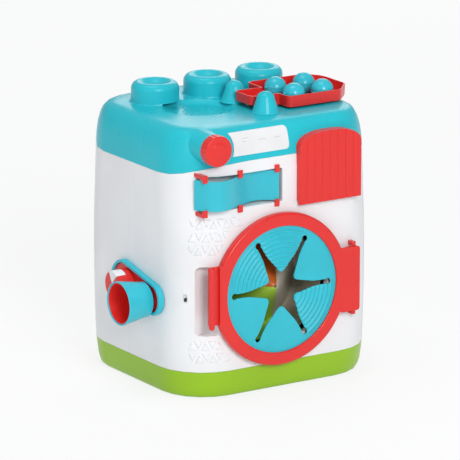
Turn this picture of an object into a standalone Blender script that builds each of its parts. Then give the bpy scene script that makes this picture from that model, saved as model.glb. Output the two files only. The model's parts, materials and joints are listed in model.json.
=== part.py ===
"""Toy washing machine for toddlers. Metres, +Z up, front towards -Y, origin at the middle of the base's underside."""

import math

import bmesh
import bpy
from mathutils import Matrix, Vector

# Clearances and shared sizes
gap = 0.0003
overrun = 0.004
wall = 0.003
thin_wall = 0.0024
corner_steps = 5
round_steps = 32
pin_steps = 10
stud_steps = 22
ring_steps = 40

# Body: plan and heights
body_width = 0.462
body_depth = 0.414
corner_radius = 0.107
corner_radius_mid = 0.093
base_height = 0.054
side_seam_height = 0.447
front_seam_rise = 0.026
seam_flat_half_width = 0.055
cover_rise = 0.093
shell_seam_depth = 0.006

# Base tub: how far its outside steps in, from the floor up to its rim
base_inset_foot = 0.013
base_inset_edge = 0.0090
base_inset_low = 0.006
base_inset_high = 0.003
base_edge_rise = 0.002
base_low_rise = 0.007
base_high_rise = 0.018
tub_lip_height = 0.008

# Screws under the base
screw_reach = 0.070
rib_thickness = 0.003
screw_well_radius = 0.0065
screw_well_depth = 0.012
screw_boss_radius = 0.009
shell_boss_radius = 0.013
shell_boss_height = 0.022
screw_head_radius = 0.0045
screw_head_height = 0.003
screw_shank_radius = 0.0018
screw_length = 0.052
screw_hole_radius = 0.0022

# Cover: share of the height above the side seam, and the inset there
cover_shoulder_inset = 0.054
cover_rise_shares = (0.24, 0.40, 0.55, 0.68, 0.78, 0.865, 0.927, 0.969, 0.993, 1.0)
cover_inset_shares = (0.02, 0.05, 0.09, 0.15, 0.21, 0.29, 0.39, 0.54, 0.74, 1.0)

# Studs on the cover
stud_spacing = 0.123
stud_depth = 0.079
stud_radius = 0.048
stud_height = 0.042
stud_rim_radius = 0.014
stud_foot_fillet = 0.005
stud_dish_radius = 0.029
stud_dish_floor_radius = 0.019
stud_dish_depth = 0.009

# Basin on the cover
basin_x = -0.078
basin_y = -0.012
basin_radius = 0.072
basin_depth = 0.009
basin_floor_radius = 0.054
basin_hole_radius = 0.0026
basin_hole_ring_spacing = 0.0155
basin_hole_rings = 3
basin_hole_steps = 6

# Posts that carry the tray
post_x = 0.0105
front_post_y = -0.118
back_post_y = -0.005
post_foot_radius = 0.0265
post_top_radius = 0.018
post_height = 0.0425
post_dome_height = 0.014
pivot_height = 0.0200
pivot_stub_radius = 0.004
pivot_clearance = 0.0005
pivot_hole_depth = 0.009

# Tilting tray
tray_left_x = -0.008
tray_neck_x = 0.058
tray_right_x = 0.220
tray_front_y = -0.128
tray_back_y = 0.026
tray_neck_half_width = 0.032
tray_floor_clearance = 0.0040
tray_wall_height = 0.023
tray_draft = 0.001
tray_corner_radius = 0.038
tray_back_corner_radius = 0.048
tray_neck_corner_radius = 0.012
tray_lip_rise = 0.006
tray_seat_radius = 0.0150
tray_foot_radius = 0.006

# Balls
ball_radius = 0.0225
ball_spacing = 0.0665
ball_left_x = 0.0890
ball_front_y = -0.1010
ball_nub_radius = 0.0028
ball_segments = 14
ball_rings = 8

# Dial
dial_x = -0.166
dial_drop = 0.035
dial_radius = 0.031
dial_proud = 0.017
dial_sink = 0.004
dial_flutes = 26
dial_flute_depth = 0.0012
dial_edge = 0.0025
dial_cap_radius = 0.017
dial_cap_height = 0.002
dial_seat_radius = 0.0300
dial_seat_foot_radius = 0.033
dial_seat_depth = 0.050
dial_seat_clearance = 0.0012
dial_seat_lip = 0.0014
dial_bore_depth = 0.012
dial_spindle_radius = 0.005
click_wheel_radius = 0.014
click_wheel_thickness = 0.004
click_wheel_teeth = 12
click_tooth_depth = 0.002
pawl_width = 0.004
pawl_length = 0.030

# Label plate
label_left_x = -0.127
label_right_x = 0.009
label_low_drop = 0.055
label_high_drop = 0.010
label_hollow_radius = 0.048
label_thickness = 0.0016
label_corner_radius = 0.008

# Wave panel and its clips; the line is (x, how far out of the front)
wave_left_x = -0.198
wave_right_x = -0.016
wave_height = 0.060
wave_drop = 0.002
wave_line = (
    (-0.198, -0.0225),
    (-0.190, -0.006),
    (-0.179, 0.008),
    (-0.164, 0.0160),
    (-0.148, 0.0155),
    (-0.130, 0.009),
    (-0.110, -0.001),
    (-0.090, -0.011),
    (-0.074, -0.017),
    (-0.058, -0.0190),
    (-0.042, -0.0150),
    (-0.028, -0.006),
    (-0.016, 0.000),
)
wave_thickness = 0.0025
wave_samples = 36
recess_margin = 0.004
recess_right_margin = 0.008
recess_left_x = -0.192
recess_depth = 0.038
clip_places = (-0.190, -0.108, -0.022)
clip_width = 0.010
clip_height = 0.008
clip_root = 0.030
clip_hook = 0.0028
clip_edge = 0.0010

# Hopper
hopper_left_x = 0.025
hopper_right_x = 0.170
hopper_low_drop = 0.0765
hopper_arch_rise = 0.028
hopper_crown_drop = 0.027
hopper_arch_power = 2.6
hopper_proud = 0.013
hopper_flutes = 8
hopper_flute_depth = 0.0012
hopper_open_margin = 0.004
hopper_open_top_margin = 0.008
hopper_sill = 0.0025
hopper_pivot_rise = 0.0075
hopper_pivot_set = 0.001
hopper_bin_depth = 0.055
hopper_bin_height = 0.087
hopper_bin_foot_share = 0.7
hopper_pin_radius = 0.002
hopper_lug_radius = 0.0038
hopper_lug_width = 0.0028
hopper_lug_reach = 0.007
hopper_foot_relief = 0.0058
hopper_foot_relief_height = 0.0085

# Door
door_x = -0.018
door_z = 0.207
ring_outer_radius = 0.154
ring_inner_radius = 0.128
ring_proud = 0.015
ring_back = 0.0007
ring_edge = 0.005
membrane_radius = 0.1345
membrane_thickness = 0.003
membrane_back = 0.0070
clamp_lap = 0.010
retainer_outer_radius = 0.149
retainer_flange = 0.0028
port_radius = 0.117
collar_depth = 0.012
slit_arms = 6
slit_tip_radius = 0.1155
slit_tip_width = 0.0125
slit_neck_width = 0.0090
slit_neck_reach = 0.090
slit_flare_width = 0.0110
slit_flare_reach = 0.075
slit_root_width = 0.0174
slit_root_reach = 0.060
petal_tip_radius = 0.0355
petal_tip_round = 0.009
petal_tip_half_angle = 48
slit_tip_half_angle = 100
handle_x = -0.182
handle_low_z = 0.153
handle_high_z = 0.275
handle_bar_radius = 0.0075
handle_proud = 0.024
handle_tab_thickness = 0.005
handle_near_corner_share = 0.6
handle_far_corner_share = 0.3
hinge_x = 0.154
hinge_out = 0.010
hinge_barrel_radius = 0.005
hinge_low_z = 0.138
hinge_high_z = 0.270
hinge_plate_right_x = 0.165
hinge_knuckle_height = 0.008
hinge_pin_radius = 0.0023
hinge_pin_clearance = 0.0004
finger_left_x = -0.197
finger_right_x = -0.150
finger_low_z = 0.129
finger_high_z = 0.269
finger_depth = 0.030
finger_corner = 0.010

# Drum
drum_radius = 0.112
drum_wall = 0.0025
drum_front_set = 0.017
drum_depth = 0.088
drum_apex_set = 0.009
drum_apex_radius = 0.012
drum_foot_round = 0.010
drum_tip_share = 0.25
drum_tip_back_share = 0.2
drum_nose_share = 0.45
drum_nose_back_share = 1.05
drum_foot_inner_shares = ((1.2, 0.8), (0.5, 0.45), (0, 1.3))
drum_foot_outer_share = 1.1
drum_cone_wall_shares = (1.9, 1.6)
drum_sectors = 3
drum_sector_spare = 0.6
drum_sector_start = 60
drum_sector_steps = 14
drum_plate_thickness = 0.003
drum_hub_radius = 0.013
drum_hub_length = 0.012
drum_axle_radius = 0.004
drum_axle_clearance = 0.0004
carrier_radius = 0.147
carrier_thickness = 0.004
carrier_post_radius = 0.007
carrier_post_reach = 0.134
carrier_posts = 4
carrier_window_radius = 0.032
carrier_window_reach = 0.080

# Side unit on the left wall
lobe_a_y = 0.008
lobe_a_z = 0.200
lobe_a_radius = 0.047
lobe_b_y = -0.093
lobe_b_z = 0.191
lobe_b_radius = 0.034
lobe_waist_angle = 34
bezel_proud = 0.013
bezel_rim = 0.006
bezel_edge = 0.002
face_thickness = 0.003
face_proud = 0.0085
cup_y = -0.0755
cup_z = 0.1865
cup_foot_radius = 0.0355
cup_rim_radius = 0.044
cup_length = 0.0615
cup_bulge_share = 0.58
cup_heel_share = 0.15
cup_stem_radius = 0.020
cup_wall = 0.0026
liner_wall = 0.0020
spinner_y = -0.003
spinner_z = 0.203
spinner_radius = 0.029
spinner_depth = 0.036
spinner_edge = 0.003
wedge_middle = 98
wedge_half_angle = 32
wedge_proud = 0.0012
wedge_depth_share = 0.6
wedge_tip_share = 0.12
spinner_spindle_radius = 0.004

# Slide switch on the front left corner
switch_angle = 38
switch_z = 0.205
switch_width = 0.0095
switch_height = 0.0180
switch_depth = 0.006
switch_rim = 0.0012
slider_height = 0.0080

# Sound unit and batteries
speaker_radius = 0.026
speaker_depth = 0.016
speaker_magnet_share = 0.5
speaker_cone_share = 0.6
board_width = 0.070
board_height = 0.050
board_thickness = 0.0016
board_stand = 0.0003
battery_width = 0.110
battery_height = 0.066
battery_depth = 0.022
battery_x = 0.0
battery_z = 0.150
battery_cover_thickness = 0.0026
battery_corner = 0.008
battery_lap = 0.006

# Places worked out from the sizes above
cover_top_height = side_seam_height + cover_rise
stud_top_height = cover_top_height + stud_height
dial_z = cover_top_height - dial_drop
label_low_z = cover_top_height - label_low_drop
label_high_z = cover_top_height - label_high_drop
wave_high_z = side_seam_height - wave_drop
wave_low_z = wave_high_z - wave_height
hopper_low_z = side_seam_height - hopper_low_drop
hopper_crown_z = cover_top_height - hopper_crown_drop
hopper_shoulder_z = hopper_crown_z - hopper_arch_rise
hopper_pivot_z = hopper_low_z + hopper_pivot_rise
front = -body_depth / 2
back = body_depth / 2
left = -body_width / 2
hinge_y = front - hinge_out
pivot_z = cover_top_height + pivot_height
tray_floor_z = cover_top_height + tray_floor_clearance
tray_mid_y = (front_post_y + back_post_y) / 2
hopper_pivot_y = front + hopper_pivot_set
drum_front_y = front + drum_front_set
drum_back_y = drum_front_y + drum_depth
face_out = left - face_proud


def clear_scene():
    for obj in list(bpy.data.objects):
        bpy.data.objects.remove(obj, do_unlink=True)


def new_collection(name):
    collection = bpy.data.collections.new(name)
    bpy.context.scene.collection.children.link(collection)
    return collection


clear_scene()
machine = new_collection("toy_washing_machine")
tools = new_collection("cutters")
tools.hide_render = True


def plastic(name, colour, roughness=0.35, metallic=0.0):
    material = bpy.data.materials.new(name)
    material.use_nodes = True
    shader = material.node_tree.nodes["Principled BSDF"]
    shader.inputs["Base Color"].default_value = (*colour, 1.0)
    shader.inputs["Roughness"].default_value = roughness
    shader.inputs["Metallic"].default_value = metallic
    material.diffuse_color = (*colour, 1.0)
    return material


teal = plastic("teal_plastic", (0.055, 0.52, 0.60))
red = plastic("red_plastic", (0.80, 0.060, 0.055))
green = plastic("lime_plastic", (0.34, 0.55, 0.030))
white = plastic("white_plastic", (0.87, 0.87, 0.88))
rubber = plastic("teal_rubber", (0.055, 0.50, 0.62), 0.55)
orange = plastic("orange_plastic", (0.80, 0.17, 0.020))
grey = plastic("grey_plastic", (0.35, 0.33, 0.31))
black = plastic("black_plastic", (0.02, 0.02, 0.02), 0.45)
steel = plastic("steel", (0.60, 0.60, 0.62), 0.3, 1.0)
board_green = plastic("board_green", (0.03, 0.20, 0.08), 0.5)


def finish(mesh, sharp=35):
    """Weld, turn the faces outwards and shade smooth."""
    bm = bmesh.new()
    bm.from_mesh(mesh)
    bmesh.ops.remove_doubles(bm, verts=bm.verts, dist=gap / 30)
    bmesh.ops.recalc_face_normals(bm, faces=bm.faces)
    bm.to_mesh(mesh)
    bm.free()
    mesh.shade_smooth()
    mesh.set_sharp_from_angle(angle=math.radians(sharp))
    return mesh


def baked(obj):
    """The evaluated mesh of a helper object, which is removed."""
    bpy.context.view_layer.update()
    graph = bpy.context.evaluated_depsgraph_get()
    mesh = bpy.data.meshes.new_from_object(obj.evaluated_get(graph))
    mesh.transform(obj.matrix_world)
    bpy.data.objects.remove(obj, do_unlink=True)
    return finish(mesh)


def linked(name, data, collection):
    obj = bpy.data.objects.new(name, data)
    collection.objects.link(obj)
    return obj


def part(name, mesh, material, origin=(0, 0, 0), parent=None):
    """A node of the machine. Its mesh comes in world places; its origin goes to the point given."""
    mesh.transform(Matrix.Translation(-Vector(origin)))
    mesh.materials.clear()
    mesh.materials.append(material)
    obj = linked(name, mesh, machine)
    obj.location = origin
    if parent:
        obj.parent = parent
        obj.location = Vector(origin) - parent.location
    return obj


def pivot(name, place):
    empty = linked(name, None, machine)
    empty.location = place
    return empty


def tool(name, mesh):
    obj = linked(name, mesh, tools)
    obj.hide_render = True
    obj.display_type = "WIRE"
    return obj


waiting = []


def boolean(target, other, operation, name):
    """Keeps the step for the end, so that no shape is worked out twice."""
    waiting.append((target, other, operation, name))


def merged(meshes):
    """Several separate shapes as one mesh, for one cut."""
    bm = bmesh.new()
    for mesh in meshes:
        bm.from_mesh(mesh)
    together = bpy.data.meshes.new("together")
    bm.to_mesh(together)
    bm.free()
    return together


def add_booleans():
    for target, other, operation, name in waiting:
        if other is None:
            target.modifiers.new(name, "TRIANGULATE")
            continue
        modifier = target.modifiers.new(name, "BOOLEAN")
        modifier.operation = operation
        modifier.solver = "EXACT"
        modifier.object = other


def tidy(target):
    """Splits faces with holes into triangles, which the next step reads more surely."""
    waiting.append((target, None, None, "triangles"))


def cut(target, mesh, name):
    boolean(target, tool(f"{target.name}_{name}", mesh), "DIFFERENCE", name)


def cut_by(target, other, name):
    """As cut, by a tool that has steps of its own."""
    boolean(target, other, "DIFFERENCE", name)


def join(target, mesh, name):
    boolean(target, tool(f"{target.name}_{name}", mesh), "UNION", name)


def keep(target, mesh, name):
    boolean(target, tool(f"{target.name}_{name}", mesh), "INTERSECT", name)


def arc(cx, cy, radius, start, end, steps):
    points = []
    for i in range(steps + 1):
        angle = math.radians(start + (end - start) * i / steps)
        points.append((cx + radius * math.cos(angle), cy + radius * math.sin(angle)))
    return points


def rounded(low_u, low_v, high_u, high_v, radius, steps=4):
    """A rectangle with round corners, anticlockwise."""
    r = radius
    return (
        arc(high_u - r, low_v + r, r, -90, 0, steps)
        + arc(high_u - r, high_v - r, r, 0, 90, steps)
        + arc(low_u + r, high_v - r, r, 90, 180, steps)
        + arc(low_u + r, low_v + r, r, 180, 270, steps)
    )


def filleted(corners, radii, steps=5):
    """A polygon with each corner rounded by its own radius."""
    points = []
    count = len(corners)
    for i, radius in enumerate(radii):
        here = Vector(corners[i])
        before = (Vector(corners[i - 1]) - here).normalized()
        after = (Vector(corners[(i + 1) % count]) - here).normalized()
        half = before.angle(after) / 2
        reach = radius / math.tan(half)
        centre = here + (before + after).normalized() * (radius / math.sin(half))
        first = here + before * reach - centre
        last = here + after * reach - centre
        turn = first.angle_signed(last)
        for step in range(steps + 1):
            spoke = first.copy()
            spoke.rotate(Matrix.Rotation(-turn * step / steps, 2))
            points.append(tuple(centre + spoke))
    return points


axes = {
    "X": Matrix(((0, 0, 1, 0), (1, 0, 0, 0), (0, 1, 0, 0), (0, 0, 0, 1))),
    "Y": Matrix(((1, 0, 0, 0), (0, 0, -1, 0), (0, 1, 0, 0), (0, 0, 0, 1))),
    "Z": Matrix.Identity(4),
}


def slab(outlines, start, end, axis="Z", edge=0.0):
    """Flat outlines carried from start to end along an axis. On X they are (y, z), on Y (x, z), on Z (x, y)."""
    curve = bpy.data.curves.new("outline", "CURVE")
    curve.dimensions = "2D"
    curve.fill_mode = "BOTH"
    curve.extrude = abs(end - start) / 2 - edge
    curve.bevel_depth = edge
    curve.bevel_resolution = 1
    curve.offset = -edge
    for outline in outlines:
        spline = curve.splines.new("POLY")
        spline.points.add(len(outline) - 1)
        for point, (u, v) in zip(spline.points, outline):
            point.co = (u, v, 0, 1)
        spline.use_cyclic_u = True
    mesh = baked(linked("outline", curve, tools))
    middle = (start + end) / 2
    shift = Vector((0, 0, -middle if axis == "Y" else middle))
    mesh.transform(axes[axis] @ Matrix.Translation(shift))
    return mesh


def turned(profile, place, axis="Z", steps=round_steps, closed=False, start=0):
    """A profile of (radius, height) turned round an axis through a place."""
    mesh = bpy.data.meshes.new("profile")
    bm = bmesh.new()
    verts = [bm.verts.new((r, 0, z)) for r, z in profile]
    for a, b in zip(verts, verts[1:]):
        bm.edges.new((a, b))
    if closed:
        bm.edges.new((verts[-1], verts[0]))
    bm.to_mesh(mesh)
    bm.free()
    obj = linked("profile", mesh, tools)
    screw = obj.modifiers.new("turn", "SCREW")
    screw.steps = steps
    screw.render_steps = steps
    screw.use_merge_vertices = True
    screw.merge_threshold = gap / 30
    mesh = baked(obj)
    turn = Matrix.Rotation(math.radians(start), 4, "Z")
    mesh.transform(Matrix.Translation(place) @ axes[axis] @ turn)
    return mesh


def rod(radius, start, end, place, axis="Z", steps=pin_steps):
    """A round bar. Its place gives the two coordinates across the axis; start and end are along it."""
    sign = -1 if axis == "Y" else 1
    low, high = sorted((sign * start, sign * end))
    return turned([(0, high), (radius, high), (radius, low), (0, low)], place, axis, steps)


def block(low, high):
    mesh = bpy.data.meshes.new("block")
    bm = bmesh.new()
    bmesh.ops.create_cube(bm, size=1.0)
    size = Vector(high) - Vector(low)
    bmesh.ops.scale(bm, vec=size, verts=bm.verts)
    bmesh.ops.translate(bm, vec=(Vector(high) + Vector(low)) / 2, verts=bm.verts)
    bm.to_mesh(mesh)
    bm.free()
    return mesh


def loft(rings):
    """A closed solid through rings of the same count, each anticlockwise seen from above."""
    mesh = bpy.data.meshes.new("loft")
    bm = bmesh.new()
    rows = [[bm.verts.new(point) for point in ring] for ring in rings]
    bm.faces.new(reversed(rows[0]))
    bm.faces.new(rows[-1])
    for low, high in zip(rows, rows[1:]):
        for i in range(len(low)):
            j = (i + 1) % len(low)
            bm.faces.new((low[i], low[j], high[j], high[i]))
    bm.to_mesh(mesh)
    bm.free()
    return finish(mesh, 30)


def corner_radius_at(z):
    """The plan's corners are fullest at mid height, so the silhouette swells a little."""
    share = min(max(z / side_seam_height, 0), 1)
    return corner_radius - (corner_radius - corner_radius_mid) * math.sin(math.pi * share)


def face_depth(x, z):
    """How far the body's outer face lies behind the front plane at x."""
    radius = corner_radius_at(z)
    reach = max(abs(x) - (body_width / 2 - radius), 0)
    return radius - math.sqrt(radius**2 - reach**2)


def plan(inset, z):
    radius = corner_radius_at(z) - inset
    x = body_width / 2 - inset
    y = body_depth / 2 - inset
    return [(u, v, z) for u, v in rounded(-x, -y, x, y, radius, corner_steps)]


def body_heights():
    low, high = base_height, side_seam_height
    count = 6
    return [low + (high - low) * i / count for i in range(count + 1)]


def seam_height(x):
    """The cover's lower edge is low on the side walls and rises to a flat run across the front."""
    reach = body_width / 2 - seam_flat_half_width
    share = min(max((abs(x) - seam_flat_half_width) / reach, 0), 1)
    return side_seam_height + front_seam_rise * (1 - share**3)


def seam_block(shift, limit):
    """Everything below or above the cover's seam, as far as a height."""
    samples = 40
    xs = [body_width * (i / samples - 1 / 2) for i in range(samples + 1)]
    line = [(x, seam_height(x) + shift) for x in xs]
    line[0] = (line[0][0] - overrun, line[0][1])
    line[-1] = (line[-1][0] + overrun, line[-1][1])
    outline = line + [(line[-1][0], limit), (line[0][0], limit)]
    return slab([outline], front - overrun, back + overrun, "Y")


def screw_places():
    """Four screws under the base, one inside each corner of the plan."""
    reach = screw_reach
    places = []
    for sx in (-1, 1):
        for sy in (-1, 1):
            x = sx * (body_width / 2 - corner_radius + reach / math.sqrt(2))
            y = sy * (body_depth / 2 - corner_radius + reach / math.sqrt(2))
            places.append((x, y))
    return places


def base_tub():
    top = base_height
    lip_out = wall + gap
    lip_in = lip_out + thin_wall
    rings = [
        plan(base_inset_foot, 0),
        plan(base_inset_edge, base_edge_rise),
        plan(base_inset_low, base_low_rise),
        plan(base_inset_high, base_high_rise),
        plan(0, top),
        plan(lip_out, top),
        plan(lip_out, top + tub_lip_height),
        plan(lip_in, top + tub_lip_height),
        plan(lip_in, top),
        plan(base_inset_high + wall, base_high_rise + wall),
        plan(base_inset_foot + wall, wall),
    ]
    tub = part("base_tub", loft(rings), green)
    for i, (x, y) in enumerate(screw_places()):
        boss = rod(screw_boss_radius, wall / 2, top + tub_lip_height - gap, (x, y, 0))
        join(tub, boss, f"boss_{i}")
    for i, (x, y) in enumerate(screw_places()):
        cut(tub, rod(screw_well_radius, -overrun, screw_well_depth, (x, y, 0)), f"well_{i}")
        cut(tub, rod(screw_hole_radius, 0, top + 3 * overrun, (x, y, 0)), f"hole_{i}")


def base_screws():
    head_low = screw_well_depth - gap - screw_head_height
    head_high = screw_well_depth - gap
    tip = head_low + screw_length
    profile = [
        (0, tip),
        (screw_shank_radius / 3, tip),
        (screw_shank_radius, tip - screw_shank_radius),
        (screw_shank_radius, head_high),
        (screw_head_radius, head_high),
        (screw_head_radius, head_low + screw_head_height / 3),
        (screw_head_radius * 2 / 3, head_low),
        (0, head_low),
    ]
    for i, (x, y) in enumerate(screw_places()):
        part(f"base_screw_{i + 1}", turned(profile, (x, y, 0), steps=8), steel, (x, y, 0))


def hull_rings(inset):
    """The whole outer face, from the base's rim to the flat top."""
    return [plan(inset, z) for z in body_heights()] + cover_outside(inset)[2:]


def shell_blank():
    rings = hull_rings(0)
    rings[0] = plan(0, base_height + gap)
    return loft(rings)


def shell_inside():
    rings = hull_rings(wall)
    rings[0] = plan(wall, base_height - overrun)
    return loft(rings + [[(x, y, z + overrun) for x, y, z in rings[-1]]])


def rib_outline(x, y):
    """A web from a screw boss out to the middle of the corner's wall."""
    low = corner_radius_at(base_height)
    centre = Vector((math.copysign(body_width / 2 - low, x), math.copysign(body_depth / 2 - low, y)))
    out = (Vector((x, y)) - centre).normalized()
    side = Vector((-out.y, out.x)) * rib_thickness / 2
    start = Vector((x, y))
    end = centre + out * (low - wall / 2)
    return [tuple(p) for p in (start - side, end - side, end + side, start + side)]


def boss_solids(front_half):
    """Bosses for the base's screws, each with a web out to the wall."""
    low = base_height + tub_lip_height + gap
    solids = []
    for x, y in screw_places():
        if (y < 0) == front_half:
            solids.append(rod(shell_boss_radius, low, low + shell_boss_height, (x, y, 0)))
            solids.append(slab([rib_outline(x, y)], low, low + shell_boss_height / 2))
    return solids


def shell(name, front_half, solids):
    """Half of the upright walls. The solids are what its hollow leaves standing."""
    obj = part(name, shell_blank(), white)
    inside = tool(f"{name}_inside", shell_inside())
    for i, mesh in enumerate(boss_solids(front_half) + solids):
        cut(inside, mesh, f"left_standing_{i}")
    cut_by(obj, inside, "inside")
    side = body_width / 2 + overrun
    top = cover_top_height + 2 * overrun
    if front_half:
        far = block((-side, shell_seam_depth - gap / 2, 0), (side, back + overrun, top))
    else:
        far = block((-side, front - overrun, 0), (side, shell_seam_depth + gap / 2, top))
    cut(obj, far, "other_half")
    cut(obj, seam_block(-gap, top), "cover_seam")
    high = base_height + tub_lip_height + gap + shell_boss_height - wall
    for i, (x, y) in enumerate(screw_places()):
        if (y < 0) == front_half:
            cut(obj, rod(screw_hole_radius, 0, high, (x, y, 0)), f"pilot_{i}")
    return obj


def pocket_box(outline, depth):
    """What stands behind a recess in the front wall."""
    bigger = [offset_point(outline, i, wall) for i in range(len(outline))]
    return slab([bigger], front - overrun, front + depth + wall, "Y")


def pocket_hollow(outline, depth):
    return slab([outline], front - overrun, front + depth, "Y")


def offset_point(outline, i, distance):
    here = Vector(outline[i])
    before = Vector(outline[i - 1])
    after = Vector(outline[(i + 1) % len(outline)])
    run = (after - before).normalized()
    return tuple(here + Vector((run.y, -run.x)) * distance)


def hopper_opening():
    m = hopper_open_margin
    corners = [
        (hopper_left_x + m, hopper_low_z - hopper_sill),
        (hopper_right_x - m, hopper_low_z - hopper_sill),
        (hopper_right_x - m, hopper_crown_z - hopper_open_top_margin),
        (hopper_left_x + m, hopper_crown_z - hopper_open_top_margin),
    ]
    return filleted(corners, (m, m, hopper_arch_rise, hopper_arch_rise))


def wave_recess_outline():
    m = recess_margin
    right = wave_right_x + recess_right_margin
    return rounded(recess_left_x, wave_low_z - m, right, wave_high_z + m, m, 2)


def finger_outline():
    return rounded(finger_left_x, finger_low_z, finger_right_x, finger_high_z, finger_corner)


def pockets():
    """Two pans behind the front wall: one for fingers at the handle, one for the wave panel."""
    for name, outline, depth in (
        ("handle_pocket", finger_outline(), finger_depth),
        ("wave_pocket", wave_recess_outline(), recess_depth),
    ):
        pan = part(name, pocket_box(outline, depth), white)
        keep(pan, loft(hull_rings(wall + gap)), "inner_face")
        cut(pan, pocket_hollow(outline, depth), "hollow")


def front_shell():
    collar = [
        (port_radius + wall, wall),
        (port_radius + wall, -collar_depth),
        (0, -collar_depth),
        (0, wall),
    ]
    solids = [
        on_front(collar, door_x, door_z, ring_steps),
        switch_pill(switch_width + wall, switch_height + wall, -overrun, switch_depth + wall / 2),
    ]
    for x, z in carrier_places():
        solids.append(rod(carrier_post_radius, front - overrun, drum_carrier_y() - gap, (x, 0, z), "Y", 12))
    obj = shell("front_shell", True, solids)
    inner = front + collar_depth + overrun
    port = rod(port_radius, front - 2 * overrun, inner, (door_x, 0, door_z), "Y", ring_steps)
    tidy(obj)
    cut(obj, port, "port")
    tidy(obj)
    cut(obj, pocket_hollow(finger_outline(), finger_depth), "finger_recess")
    cut(obj, pocket_hollow(wave_recess_outline(), recess_depth), "wave_recess")
    cut(obj, slab([hopper_opening()], front - overrun, front + corner_radius / 2, "Y"), "hopper_opening")
    cut(obj, switch_pill(switch_width, switch_height, -overrun, switch_depth + gap), "switch_slot")
    tidy(obj)
    add_hopper_lugs(obj)


def carrier_places():
    places = []
    for i in range(carrier_posts):
        angle = math.radians(45 + 360 * i / carrier_posts)
        x = door_x + carrier_post_reach * math.cos(angle)
        z = door_z + carrier_post_reach * math.sin(angle)
        places.append((x, z))
    return places


def drum_carrier_y():
    return drum_back_y + drum_plate_thickness + drum_hub_length + 2 * gap


def battery_outline(inset):
    return rounded(
        battery_x - battery_width / 2 + inset,
        battery_z - battery_height / 2 + inset,
        battery_x + battery_width / 2 - inset,
        battery_z + battery_height / 2 - inset,
        battery_corner - inset / 2,
    )


def rear_shell():
    obj = shell("rear_shell", False, [])
    cut(obj, slab([battery_outline(battery_lap)], back - 2 * wall, back + overrun, "Y"), "battery_opening")
    cut(obj, slab([battery_outline(0)], back - wall / 2, back + overrun, "Y"), "cover_seat")


def cover_ring(share, inset_share, inset):
    z = side_seam_height + (cover_top_height - side_seam_height) * share
    return plan(cover_shoulder_inset * inset_share + inset, z)


def cover_outside(inset, drop=0.0):
    """The rings of the cover's outer face, set in by an amount, from the seam up to the flat top."""
    rings = [plan(inset, side_seam_height - overrun)]
    for share, inset_share in zip(cover_rise_shares, cover_inset_shares):
        ring = cover_ring(share, inset_share, inset)
        rings.append([(x, y, z - drop * share) for x, y, z in ring])
    return rings


def stud_profile():
    """Outer side, from the dish out over the rim and down to the foot."""
    r = stud_rim_radius
    low = cover_top_height - wall / 2
    dish = stud_top_height - stud_dish_depth
    foot = cover_top_height
    fillet = stud_radius + stud_foot_fillet
    points = [(0, dish), (stud_dish_floor_radius, dish), (stud_dish_radius, stud_top_height - wall / 2)]
    points += [(x, y) for x, y in reversed(arc(stud_radius - r, stud_top_height - r, r, 0, 90, 4))]
    third = stud_foot_fillet / 3
    points += [(stud_radius, foot + stud_foot_fillet), (stud_radius + third, foot + third)]
    return points + [(fillet, foot), (fillet, low), (0, low)]


def stud_hollow():
    top = stud_top_height - stud_dish_depth - wall
    side = stud_radius - wall
    foot = cover_top_height - 2 * wall
    return [(0, top), (side - stud_rim_radius / 2, top), (side, top - wall), (side, foot), (0, foot)]


def post_profile():
    top = cover_top_height + post_height
    low = cover_top_height + gap
    shoulder = top - post_dome_height
    points = [(0, top)]
    for i in range(1, 5):
        angle = math.radians(90 * i / 4)
        points.append((post_top_radius * math.sin(angle), shoulder + post_dome_height * math.cos(angle)))
    points += [(post_foot_radius, cover_top_height + wall), (post_foot_radius + wall, low)]
    return points + [(0, low)]


def tray_posts():
    """Two domed posts that stand on the cover and take the tray's stubs."""
    hole = pivot_stub_radius + pivot_clearance
    for name, y, side in (("front", front_post_y, 1), ("back", back_post_y, -1)):
        post = part(f"tray_post_{name}", turned(post_profile(), (post_x, y, 0), steps=24), teal)
        inner = y + side * (post_top_radius + wall)
        deep = inner - side * (pivot_hole_depth + wall)
        bore = rod(hole, inner + side * overrun, deep, (post_x, 0, pivot_z), "Y")
        cut(post, bore, "pivot")


def basin_profile(inset):
    top = cover_top_height + (overrun if not inset else -wall / 2)
    floor = cover_top_height - basin_depth - inset
    lip = basin_radius + inset
    points = [(0, top), (lip, top), (lip, cover_top_height - inset)]
    points += [(basin_floor_radius + (lip - basin_floor_radius) / 2, floor + basin_depth / 4)]
    return points + [(basin_floor_radius, floor), (0, floor)]


def basin_hole_places():
    places = [(0.0, 0.0)]
    for ring in range(1, basin_hole_rings + 1):
        count = 6 * ring
        for i in range(count):
            angle = 2 * math.pi * i / count
            reach = ring * basin_hole_ring_spacing
            places.append((reach * math.cos(angle), reach * math.sin(angle)))
    return places


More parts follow.
